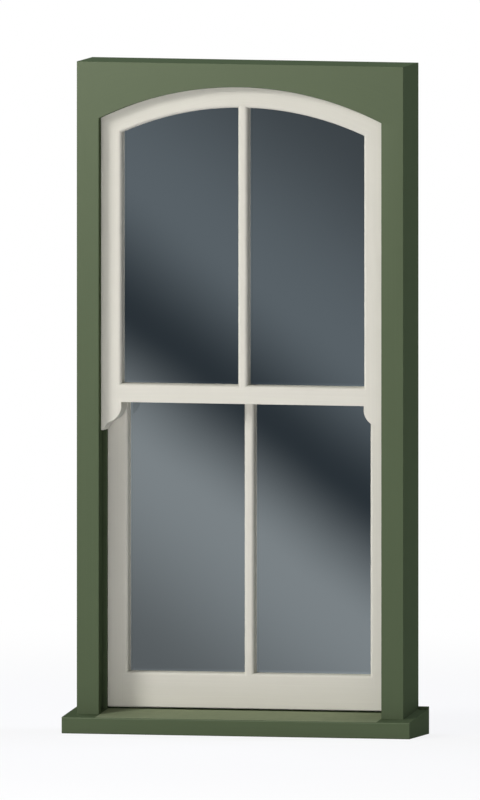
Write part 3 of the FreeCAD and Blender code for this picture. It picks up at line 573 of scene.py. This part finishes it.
def pin_tree():
    """Sets filled pin heads at even steps along each loop, facing the room."""
    tree, make, inputs = new_shape_tree("bead_pins", {
        "Spacing": "Float", "Radius": "Float", "Proud": "Float", "Material": "Material"})
    shape, spacing, radius, proud, material = inputs
    loops = make.add("GeometryNodeMeshToCurve", {}, {"Mesh": shape})
    steps = make.add(
        "GeometryNodeResampleCurve", {"mode": "LENGTH"}, {"Curve": loops, "Length": spacing})
    head = make.add("GeometryNodeMeshCone", {}, {
        "Vertices": 12, "Radius Top": radius * 0.6, "Radius Bottom": radius, "Depth": proud * 2.0})
    down = make.add("ShaderNodeCombineXYZ", {}, {1: 0.0 - proud})
    head = make.add("GeometryNodeTransform", {}, {
        "Geometry": head, "Translation": down, "Rotation": (-math.pi / 2, 0.0, 0.0)})
    pins = make.add("GeometryNodeInstanceOnPoints", {}, {"Points": steps, "Instance": head})
    finish_shape_tree(make, pins, material)
    return tree


def seal_tree():
    """Lays a round line of sealant along each loop."""
    tree, make, inputs = new_shape_tree(
        "sealant_lines", {"Radius": "Float", "Material": "Material"})
    shape, radius, material = inputs
    loops = make.add("GeometryNodeMeshToCurve", {}, {"Mesh": shape})
    bead = make.add("GeometryNodeCurvePrimitiveCircle", {}, {"Resolution": 10, "Radius": radius})
    line = make.add(
        "GeometryNodeCurveToMesh", {}, {"Curve": loops, "Profile Curve": bead, "Fill Caps": False})
    finish_shape_tree(make, line, material)
    return tree


# Dressing of the solids

WELD = 0.005 * MM
FLAT_ANGLE = math.radians(0.3)
ARRIS_ANGLE = math.radians(28)
SMOOTH_ANGLE = math.radians(32)


def neighbours_of(name):
    """The surfaces of all the other solids, to test where they touch this one."""
    corners = []
    faces = []
    for other, node in frame["nodes"].items():
        if other == name:
            continue
        start = len(corners)
        corners += [vertex.co.copy() for vertex in node.data.vertices]
        faces += [[start + index for index in polygon.vertices] for polygon in node.data.polygons]
    return BVHTree.FromPolygons(corners, faces)


def lies_inside(tree, point):
    found, normal, _, _ = tree.find_nearest(point)
    return found is not None and (point - found).dot(normal) < 0


def is_joint(tree, edge, probe=0.2 * MM):
    """Whether another piece lies against the edge, so that no arris shows there."""
    first, second = (face.normal for face in edge.link_faces)
    for share in (0.25, 0.5, 0.75):
        place = edge.verts[0].co.lerp(edge.verts[1].co, share)
        for out, back in ((first, second), (second, first)):
            if lies_inside(tree, place + out * probe - back * probe * 0.5):
                return True
    return False


def dressed(name, shape, arris_width):
    """The shape welded, its flat faces made whole and its free edges rounded over."""
    tree = neighbours_of(name)
    work = bmesh.new()
    work.from_mesh(shape)
    bmesh.ops.remove_doubles(work, verts=work.verts, dist=WELD)
    bmesh.ops.recalc_face_normals(work, faces=work.faces)
    bmesh.ops.dissolve_limit(
        work, angle_limit=FLAT_ANGLE, use_dissolve_boundaries=False, verts=work.verts,
        edges=work.edges)
    weights = work.edges.layers.float.new("bevel_weight_edge")
    for face in work.faces:
        face.smooth = True
    for edge in work.edges:
        if len(edge.link_faces) != 2 or edge.calc_face_angle() < ARRIS_ANGLE:
            continue
        if edge.is_convex and not is_joint(tree, edge):
            edge[weights] = 1.0
        else:
            edge.smooth = False
    mesh = bpy.data.meshes.new(name + "_dressed")
    work.to_mesh(mesh)
    work.free()
    piece = bpy.data.objects.new(name + "_dressed", mesh)
    bpy.context.scene.collection.objects.link(piece)
    mesh.materials.clear()
    for _ in range(2):
        mesh.materials.append(None)
    bevel = piece.modifiers.new("arris", "BEVEL")
    bevel.limit_method = "WEIGHT"
    bevel.width = arris_width
    bevel.segments = 3
    bevel.material = 1
    bevel.use_clamp_overlap = True
    set_shading(frozen(piece).data)
    return piece


def set_shading(mesh):
    """Shades each corner by the faces round it that turn little from its own, by their areas."""
    limit = math.cos(SMOOTH_ANGLE)
    faces_at = [[] for _ in mesh.vertices]
    for polygon in mesh.polygons:
        for vertex in polygon.vertices:
            faces_at[vertex].append((polygon.normal.copy(), polygon.area))
    corners = [Vector() for _ in mesh.loops]
    for polygon in mesh.polygons:
        for corner, vertex in zip(polygon.loop_indices, polygon.vertices):
            for normal, area in faces_at[vertex]:
                if normal.dot(polygon.normal) > limit:
                    corners[corner] += normal * area
            corners[corner].normalize()
    mesh.normals_split_custom_set(corners)


def frozen(piece):
    """The piece with its modifiers made a plain mesh."""
    graph = bpy.context.evaluated_depsgraph_get()
    graph.update()
    mesh = bpy.data.meshes.new_from_object(
        piece.evaluated_get(graph), preserve_all_data_layers=True, depsgraph=graph)
    old = piece.data
    piece.modifiers.clear()
    piece.data = mesh
    mesh.name = piece.name
    bpy.data.meshes.remove(old)
    return piece


def mark_arrises(mesh):
    """Masks the rounded edges, which a brush or a hand leaves thin."""
    mask = mesh.attributes.new("arris", "FLOAT", "CORNER")
    for polygon in mesh.polygons:
        for corner in polygon.loop_indices:
            mask.data[corner].value = float(polygon.material_index == 1)
        polygon.material_index = 0


def along_the_grain(point, direction, shift):
    """Coordinates with the first axis along the member's length."""
    if direction == "arch":
        radius = math.hypot(point.x, point.z - ARCH_CENTRE)
        angle = math.atan2(point.x, point.z - ARCH_CENTRE)
        return Vector((angle * radius + shift, point.y, radius))
    if direction == "up":
        return Vector((point.z + shift, point.x, point.y))
    return Vector((point.x + shift, point.y, point.z))


def set_grain(mesh, direction, shift):
    grain = mesh.attributes.new("grain", "FLOAT_VECTOR", "POINT")
    for vertex in mesh.vertices:
        grain.data[vertex.index].vector = along_the_grain(vertex.co, direction, shift)


def direction_of(name):
    low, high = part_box(name)
    if "arched" in name:
        return "arch"
    return "up" if high.z - low.z > high.x - low.x else "across"


def dress(names, materials, arris_width, shapes):
    """Finished pieces that replace the solids; some have shapes or materials of their own."""
    for number, name in enumerate(names):
        piece = dressed(name, shapes.get(name, frame["nodes"][name].data), arris_width)
        mark_arrises(piece.data)
        set_grain(piece.data, direction_of(name), 3.1 * number)
        piece.data.materials.clear()
        piece.data.materials.append(materials.get(name, materials["all"]))
        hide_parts(name)
        mount(piece)


def mount(piece):
    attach(piece, "root")


# Stage


def aimed(place, target):
    """Placement at a point, looking at another."""
    turn = (target - place).to_track_quat("-Z", "Y")
    return Matrix.Translation(place) @ turn.to_matrix().to_4x4()


def add_lamp(name, place, target, size, power):
    lamp = bpy.data.lights.new(name, "AREA")
    lamp.shape = "SQUARE"
    lamp.size = size
    lamp.energy = power
    item = bpy.data.objects.new(name, lamp)
    item.matrix_world = aimed(place, target)
    bpy.context.scene.collection.objects.link(item)
    return item


def seen_directly(make):
    """One for what the camera, a reflection or a view through glass shows of the background."""
    seen = make.add(
        "ShaderNodeLightPath", {}, {}, ("Is Camera Ray", "Is Glossy Ray", "Is Transmission Ray"))
    return make.function("MAXIMUM", seen[0], make.function("MAXIMUM", seen[1], seen[2]))


def floor_finish(name, white_share, near=1.2, far=4.0):
    """Pale floor that keeps the window's shadow and turns into the white of the backdrop."""
    material, make = new_material(name)
    away = make.length(make.place())
    plain = make.add("ShaderNodeBsdfDiffuse", {}, {"Color": (0.8, 0.8, 0.8, 1.0)})
    white = make.add("ShaderNodeEmission", {}, {"Color": (1.0, 1.0, 1.0, 1.0), "Strength": 1.0})
    share = white_share + make.fade(away, near, far, 1 - white_share)
    shown = make.add(
        "ShaderNodeMixShader", {}, {0: seen_directly(make) * share, 1: plain, 2: white})
    make.add("ShaderNodeOutputMaterial", {}, {"Surface": shown})
    return material


def set_world(scene, sky):
    world = bpy.data.worlds.new("studio")
    world.use_nodes = True
    world.node_tree.nodes.clear()
    make = NodeMaker(world.node_tree)
    dim = make.add("ShaderNodeBackground", {}, {"Color": (1.0, 1.0, 1.0, 1.0), "Strength": sky})
    white = make.add("ShaderNodeBackground", {}, {"Color": (1.0, 1.0, 1.0, 1.0), "Strength": 1.0})
    shown = make.add("ShaderNodeMixShader", {}, {0: seen_directly(make), 1: dim, 2: white})
    make.add("ShaderNodeOutputWorld", {}, {"Surface": shown})
    scene.world = world


# Settings


def length_prop(name, description, default):
    """A setting in metres."""
    return FloatProperty(name=name, description=description, default=default, unit="LENGTH")


def share_prop(name, description, default):
    """A setting from 0 to 1."""
    return FloatProperty(name=name, description=description, default=default, min=0, max=1)


def colour_prop(name, description, default):
    """A setting that holds a colour."""
    return FloatVectorProperty(
        name=name, description=description, default=default, subtype="COLOR")


def place_prop(name, description, default):
    """A setting that holds a point or a way to one."""
    return FloatVectorProperty(name=name, description=description, default=default, subtype="XYZ")


class PaintSettings:
    """What both paints are described by."""

    roughness: share_prop("Roughness", "How dull the paint is", 0.6)
    sheen: share_prop("Sheen", "Strength of the satin film", 0.15)
    film_roughness: share_prop("Film roughness", "How soft the sheen is", 0.4)
    brush_tone: FloatProperty(
        name="Brush tone", description="Tone from the brush marks", default=0.25)
    mottle_tone: FloatProperty(
        name="Mottle tone", description="Tone from uneven film", default=0.12)
    brush_depth: FloatProperty(
        name="Brush depth", description="Relief of the brush marks", default=0.5)
    grain_depth: FloatProperty(
        name="Grain depth", description="Relief of the grain below", default=0.6)
    wear: share_prop("Wear", "Thin paint on the arrises", 0.25)


class GreenPaintSettings(PaintSettings, bpy.types.PropertyGroup):
    colour: colour_prop("Colour", "Colour of the frame's paint", (0.068, 0.092, 0.047))
    # Painted reflection: the pale colour that the sill's top takes between the linings, standing in
    # for the lower sash's bottom rail.
    dust_and_reflection: colour_prop("Dust", "Colour of the sheltered part of the sill", (0.265, 0.30, 0.185))


class CreamPaintSettings(PaintSettings, bpy.types.PropertyGroup):
    colour: colour_prop("Colour", "Colour of the sashes' paint", (0.645, 0.62, 0.545))
    sheen: share_prop("Sheen", "Strength of the satin film", 0.06)


class GlassSettings(bpy.types.PropertyGroup):
    # The three tones are a painted reflection of a sky and a street.
    dark: colour_prop("Dark tone", "Darkest band", (0.0232, 0.0313, 0.0385))
    middle: colour_prop("Middle tone", "Upper light band", (0.0976, 0.1195, 0.1356))
    light: colour_prop("Light tone", "Lower light band", (0.195, 0.223, 0.238))
    slant: FloatProperty(
        name="Slant", description="Fall of the bands across the glass", default=0.742)
    lean: FloatProperty(name="Lean", description="Shift of the bands with depth", default=0.255)
    drift: length_prop("Drift", "How far the bands wander", 0.04)
    band_low: length_prop("Lowest band", "Where the tones start", -0.05)
    band_high: length_prop("Highest band", "Where the tones end", 1.78)
    lower_ridge: FloatProperty(name="Lower ridge", description="Share of the way up", default=0.3)
    valley: FloatProperty(name="Valley", description="Share of the way up", default=0.484)
    upper_ridge: FloatProperty(name="Upper ridge", description="Share of the way up", default=0.67)
    lowest_share: FloatProperty(
        name="Lowest tone", description="Share of the light tone at the bottom", default=0.48)
    highest_share: FloatProperty(
        name="Highest tone", description="Share of the middle tone at the top", default=0.46)
    # Painted glow: this share of the tones is emitted by the glass, not lit by the lamps.
    painted_glow: share_prop("Depth", "Share of the tones that comes from inside the unit", 0.75)
    # Painted reflection of the sash moulding along each pane's left and lower edge.
    edge_reflection: share_prop("Edge dust", "How much lighter the left and lower edges are", 0.35)


class JoinerySettings(bpy.types.PropertyGroup):
    arris: length_prop("Arris", "Width of the sanded edges", 1.0 * MM)
    ovolo: length_prop("Ovolo", "Radius of the sash moulding", 8.0 * MM)
    rebate: length_prop("Rebate", "From the sash face to the glass", 33.0 * MM)
    bead_round: length_prop("Bead round", "Radius of the staff bead's edge", 6.0 * MM)
    steps: IntProperty(
        name="Arc steps", description="Divisions of the arched mouldings", default=73, min=9)
    pin_spacing: length_prop("Pin spacing", "Between the pins of the glazing beads", 0.15)
    pin_radius: length_prop("Pin radius", "Radius of a filled pin head", 1.1 * MM)
    pin_proud: length_prop("Pin proud", "Height of a pin head", 0.1 * MM)
    bead_flat: length_prop("Bead flat", "From the sight line to the pins", 6.0 * MM)


class SealSettings(bpy.types.PropertyGroup):
    colour: colour_prop("Colour", "Colour of the sealant", (0.50, 0.48, 0.42))
    radius: length_prop("Radius", "Radius of the sealant line", 0.9 * MM)


class BrassSettings(bpy.types.PropertyGroup):
    colour: colour_prop("Colour", "Colour of the metal", (0.62, 0.45, 0.20))
    roughness: share_prop("Roughness", "How soft its shine is", 0.32)
    tarnish: share_prop("Tarnish", "Depth of the brown bloom", 0.5)
    arris: length_prop("Arris", "Width of the eased edges", 0.4 * MM)
    base_plate: length_prop("Base plate", "Thickness of the fastener's plate", 2.5 * MM)
    keep_plate: length_prop("Keep plate", "Thickness of the keep's plate", 2.0 * MM)
    screw_radius: length_prop("Screw radius", "Radius of a screw's head", 2.7 * MM)
    screw_depth: length_prop("Screw depth", "Depth of a screw's head", 1.2 * MM)
    screw_proud: length_prop("Screw proud", "Height above its plate", 0.45 * MM)
    slot_width: length_prop("Slot width", "Width of a screw's slot", 0.8 * MM)
    slot_depth: length_prop("Slot depth", "Depth of a screw's slot", 0.4 * MM)
    screw_seed: IntProperty(name="Screw seed", description="Chance turns of the slots", default=7)


class StageSettings(bpy.types.PropertyGroup):
    azimuth: FloatProperty(
        name="Azimuth", description="Camera's turn to the right", default=math.radians(13.84),
        subtype="ANGLE")
    elevation: FloatProperty(
        name="Elevation", description="Camera's height angle", default=math.radians(4.01),
        subtype="ANGLE")
    view_height: length_prop("View height", "Height that the picture takes in", 2.0217)
    aim: place_prop("Aim", "Point in the middle of the picture", (0.0, -0.05675, 0.849))
    camera_distance: length_prop("Camera distance", "From the aim", 8.0)
    key_power: FloatProperty(name="Key power", description="Watts of the main lamp", default=455.0)
    key_way: place_prop("Key way", "From the aim to the main lamp", (-1.0, -1.0, 0.7))
    key_distance: length_prop("Key distance", "From the aim", 9.0)
    key_size: length_prop("Key size", "Side of the main lamp", 2.6)
    fill_power: FloatProperty(
        name="Fill power", description="Watts of the front lamp", default=82.0)
    fill_place: place_prop("Fill place", "From the aim to the front lamp", (0.0, -4.0, -0.75))
    fill_size: length_prop("Fill size", "Side of the front lamp", 2.0)
    back_power: FloatProperty(
        name="Back power", description="Watts of each high lamp behind", default=95.0)
    back_way: place_prop("Back way", "From the aim to the right lamp behind", (1.0, 0.4, 1.4))
    back_distance: length_prop("Back distance", "From the aim", 5.0)
    back_size: length_prop("Back size", "Side of each lamp behind", 2.0)
    back_colour: colour_prop("Back colour", "Cool light of the lamps behind", (0.93, 0.97, 1.2))
    sheen_power: FloatProperty(
        name="Sheen power", description="Watts of the lamp that only glances", default=700.0)
    sheen_place: place_prop("Sheen place", "Where the glancing lamp stands", (-1.8, -4.0, 2.5))
    sheen_target: place_prop("Sheen target", "Where the glancing lamp looks", (-0.3, -0.1, 1.6))
    sheen_size: length_prop("Sheen size", "Side of the glancing lamp", 1.8)
    sheen_colour: colour_prop("Sheen colour", "Warm light of the glancing lamp", (1.0, 1.08, 0.8))
    floor_radius: length_prop("Floor radius", "Radius of the floor", 14.0)
    floor_white: FloatProperty(
        name="Floor white", description="Share of plain white beside the window", default=0.82)
    sky: FloatProperty(name="Sky", description="Strength of the even light", default=0.24)


class WindowSettings(bpy.types.PropertyGroup):
    green: PointerProperty(
        type=GreenPaintSettings, name="Green paint", description="Paint of the frame")
    cream: PointerProperty(
        type=CreamPaintSettings, name="Cream paint", description="Paint of the sashes")
    glass: PointerProperty(type=GlassSettings, name="Glass", description="Sealed units")
    joinery: PointerProperty(
        type=JoinerySettings, name="Joinery", description="Timber edges and mouldings")
    seal: PointerProperty(type=SealSettings, name="Sealant", description="Lines round the glass")
    brass: PointerProperty(
        type=BrassSettings, name="Brass", description="Fasteners, keeps and lifts")
    stage: PointerProperty(type=StageSettings, name="Stage", description="Camera and light")


# Operators


class SASH_OT_paint_frame(bpy.types.Operator):
    """Round and paint the sill, jambs, head, linings and beads"""

    bl_idname = "sash.paint_frame"
    bl_label = "Paint the Frame"

    def execute(self, context):
        window = context.scene.sash_window
        round_size = window.joinery.bead_round
        low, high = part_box("arched_staff_bead")
        inner, outer = radii_of("arched_staff_bead")
        staff = [(low.y, inner)]
        staff += quarter((high.y - round_size, inner + round_size), round_size, -math.pi / 2)
        staff += [(high.y, outer), (low.y, outer)]
        low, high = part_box("arched_parting_bead")
        inner, outer = radii_of("arched_parting_bead")
        parting = [(low.y, inner), (high.y, inner), (high.y, outer), (low.y, outer)]
        shapes = {
            "arched_staff_bead": arched_moulding(
                "arched_staff_bead", "right_staff_bead", staff, window.joinery.steps),
            "arched_parting_bead": arched_moulding(
                "arched_parting_bead", "right_parting_bead", parting, window.joinery.steps),
        }
        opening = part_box("right_outer_lining")[0].x
        materials = {
            "all": paint_finish("green_paint_finish", window.green),
            "sill": paint_finish("sill_paint_finish", window.green, opening),
        }
        dress(nodes_in("green_paint"), materials, window.joinery.arris, shapes)
        return {"FINISHED"}


class SASH_OT_paint_sashes(bpy.types.Operator):
    """Round and paint the stiles, rails, bars and glazing beads"""

    bl_idname = "sash.paint_sashes"
    bl_label = "Paint the Sashes"

    def execute(self, context):
        window = context.scene.sash_window
        ovolo = window.joinery.ovolo
        low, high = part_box("upper_arched_rail")
        inner, outer = radii_of("upper_arched_rail")
        glass_face = low.y + window.joinery.rebate
        section = quarter((low.y + ovolo, inner + ovolo), ovolo, math.pi)
        section += [
            (glass_face, inner), (glass_face, inner + ovolo), (high.y, inner + ovolo),
            (high.y, outer), (low.y, outer)]
        shapes = {"upper_arched_rail": arched_moulding(
            "upper_arched_rail", "upper_right_stile", section, window.joinery.steps)}
        materials = {"all": paint_finish("cream_paint_finish", window.cream)}
        dress(nodes_in("cream_paint"), materials, window.joinery.arris, shapes)
        return {"FINISHED"}


class SASH_OT_pin_beads(bpy.types.Operator):
    """Pin the glazing beads on the room side"""

    bl_idname = "sash.pin_beads"
    bl_label = "Pin the Glazing Beads"

    def execute(self, context):
        window = context.scene.sash_window
        material = paint_finish("pin_paint_finish", window.cream)
        outlines = [
            sight_outline(
                sash, side, window.joinery.bead_flat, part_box(f"{sash}_right_glazing_bead")[1].y)
            for sash in ("upper", "lower") for side in (-1, 1)]
        piece = grown("glazing_bead_pins", loop_mesh("pin_lines", outlines), pin_tree(), {
            "Spacing": window.joinery.pin_spacing, "Radius": window.joinery.pin_radius,
            "Proud": window.joinery.pin_proud, "Material": material})
        mount(piece)
        return {"FINISHED"}


class SASH_OT_glaze(bpy.types.Operator):
    """Finish the four sealed units and seal them to the sashes"""

    bl_idname = "sash.glaze"
    bl_label = "Glaze the Sashes"

    def execute(self, context):
        window = context.scene.sash_window
        material = glass_finish("glass_finish", window.glass)
        outlines = []
        for name in nodes_in("window_glass"):
            pane = frame["nodes"][name]
            pane.data.materials.clear()
            pane.data.materials.append(material)
            sash, side, _ = name.split("_")
            way = -1 if side == "left" else 1
            outlines += [sight_outline(sash, way, 0.0, corner.y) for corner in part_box(name)]
        piece = grown("glass_sealant", loop_mesh("sealant_lines", outlines), seal_tree(), {
            "Radius": window.seal.radius,
            "Material": sealant_finish("sealant_finish", window.seal)})
        for polygon in piece.data.polygons:
            polygon.use_smooth = True
        mount(piece)
        return {"FINISHED"}


class SASH_OT_fit_brass(bpy.types.Operator):
    """Finish the fasteners, keeps and lifts and drive their screws"""

    bl_idname = "sash.fit_brass"
    bl_label = "Fit the Brass"

    def execute(self, context):
        brass = context.scene.sash_window.brass
        material = brass_finish("brass_finish", brass)
        dress(nodes_in("satin_brass"), {"all": material}, brass.arris, {})
        up, room = (0.0, 0.0, 1.0), (0.0, 1.0, 0.0)
        places = []
        ways = []
        for side in ("left", "right"):
            on_rails = plate_screws(f"{side}_fastener_base", brass.base_plate)
            on_rails += keep_screws(f"{side}_fastener_keep", brass.keep_plate)
            on_lift = lift_screws(f"{side}_sash_lift")
            places += on_rails + on_lift
            ways += [up] * len(on_rails) + [room] * len(on_lift)
        mesh = bpy.data.meshes.new("screw_places")
        mesh.from_pydata(places, [], [])
        facing = mesh.attributes.new("facing", "FLOAT_VECTOR", "POINT")
        for point, way in zip(facing.data, ways):
            point.vector = way
        piece = grown("fitting_screws", mesh, screw_tree(), {
            "Head radius": brass.screw_radius, "Head depth": brass.screw_depth,
            "Slot width": brass.slot_width, "Slot depth": brass.slot_depth,
            "Proud": brass.screw_proud, "Seed": brass.screw_seed, "Material": material})
        mount(piece)
        return {"FINISHED"}


class SASH_OT_set_stage(bpy.types.Operator):
    """Lay the floor and set up the lamps and the camera"""

    bl_idname = "sash.set_stage"
    bl_label = "Set the Stage"

    def execute(self, context):
        scene = context.scene
        stage = scene.sash_window.stage
        aim = Vector(stage.aim)
        rise = math.cos(stage.elevation)
        across, out = math.sin(stage.azimuth) * rise, -math.cos(stage.azimuth) * rise
        towards = Vector((across, out, math.sin(stage.elevation)))
        lens = bpy.data.cameras.new("camera")
        lens.type = "ORTHO"
        lens.ortho_scale = stage.view_height
        lens.clip_end = 60.0
        camera = bpy.data.objects.new("camera", lens)
        camera.matrix_world = aimed(aim + towards * stage.camera_distance, aim)
        scene.collection.objects.link(camera)
        scene.camera = camera

        key_place = aim + Vector(stage.key_way).normalized() * stage.key_distance
        add_lamp("key_lamp", key_place, aim, stage.key_size, stage.key_power)
        fill_place = aim + Vector(stage.fill_place)
        fill = add_lamp("fill_lamp", fill_place, aim, stage.fill_size, stage.fill_power)
        fill.visible_glossy = False
        beside, behind, above = stage.back_way
        for side in (-1.0, 1.0):
            way = Vector((side * beside, behind, above)).normalized()
            place = aim + way * stage.back_distance
            lamp = add_lamp("back_lamp", place, aim, stage.back_size, stage.back_power)
            lamp.visible_glossy = False
            lamp.data.color = stage.back_colour
        sheen = add_lamp(
            "sheen_lamp", Vector(stage.sheen_place), Vector(stage.sheen_target), stage.sheen_size,
            stage.sheen_power)
        sheen.visible_diffuse = False
        sheen.data.color = stage.sheen_colour
        set_world(scene, stage.sky)
        scene.view_settings.view_transform = "Standard"

        work = bmesh.new()
        bmesh.ops.create_circle(work, cap_ends=True, segments=96, radius=stage.floor_radius)
        mesh = bpy.data.meshes.new("floor")
        work.to_mesh(mesh)
        work.free()
        mesh.materials.append(floor_finish("floor_finish", stage.floor_white))
        floor = bpy.data.objects.new("floor", mesh)
        scene.collection.objects.link(floor)
        return {"FINISHED"}


class SASH_PT_window(bpy.types.Panel):
    """Lists the steps that finish the window"""

    bl_idname = "SASH_PT_window"
    bl_label = "Arched Sash Window"
    bl_space_type = "VIEW_3D"
    bl_region_type = "UI"
    bl_category = "Sash Window"

    def draw(self, context):
        for step in STEPS:
            self.layout.operator(step.bl_idname)


STEPS = (
    SASH_OT_paint_frame, SASH_OT_paint_sashes, SASH_OT_pin_beads, SASH_OT_glaze, SASH_OT_fit_brass,
    SASH_OT_set_stage)
CLASSES = (
    GreenPaintSettings, CreamPaintSettings, GlassSettings, JoinerySettings, SealSettings,
    BrassSettings, StageSettings, WindowSettings, *STEPS, SASH_PT_window)


def register():
    for item in CLASSES:
        bpy.utils.register_class(item)
    bpy.types.Scene.sash_window = PointerProperty(type=WindowSettings)


def unregister():
    del bpy.types.Scene.sash_window
    for item in reversed(CLASSES):
        bpy.utils.unregister_class(item)


def main():
    register()
    bpy.ops.sash.paint_frame()
    bpy.ops.sash.paint_sashes()
    bpy.ops.sash.pin_beads()
    bpy.ops.sash.glaze()
    bpy.ops.sash.fit_brass()
    bpy.ops.sash.set_stage()


if __name__ == "__main__":
    main()
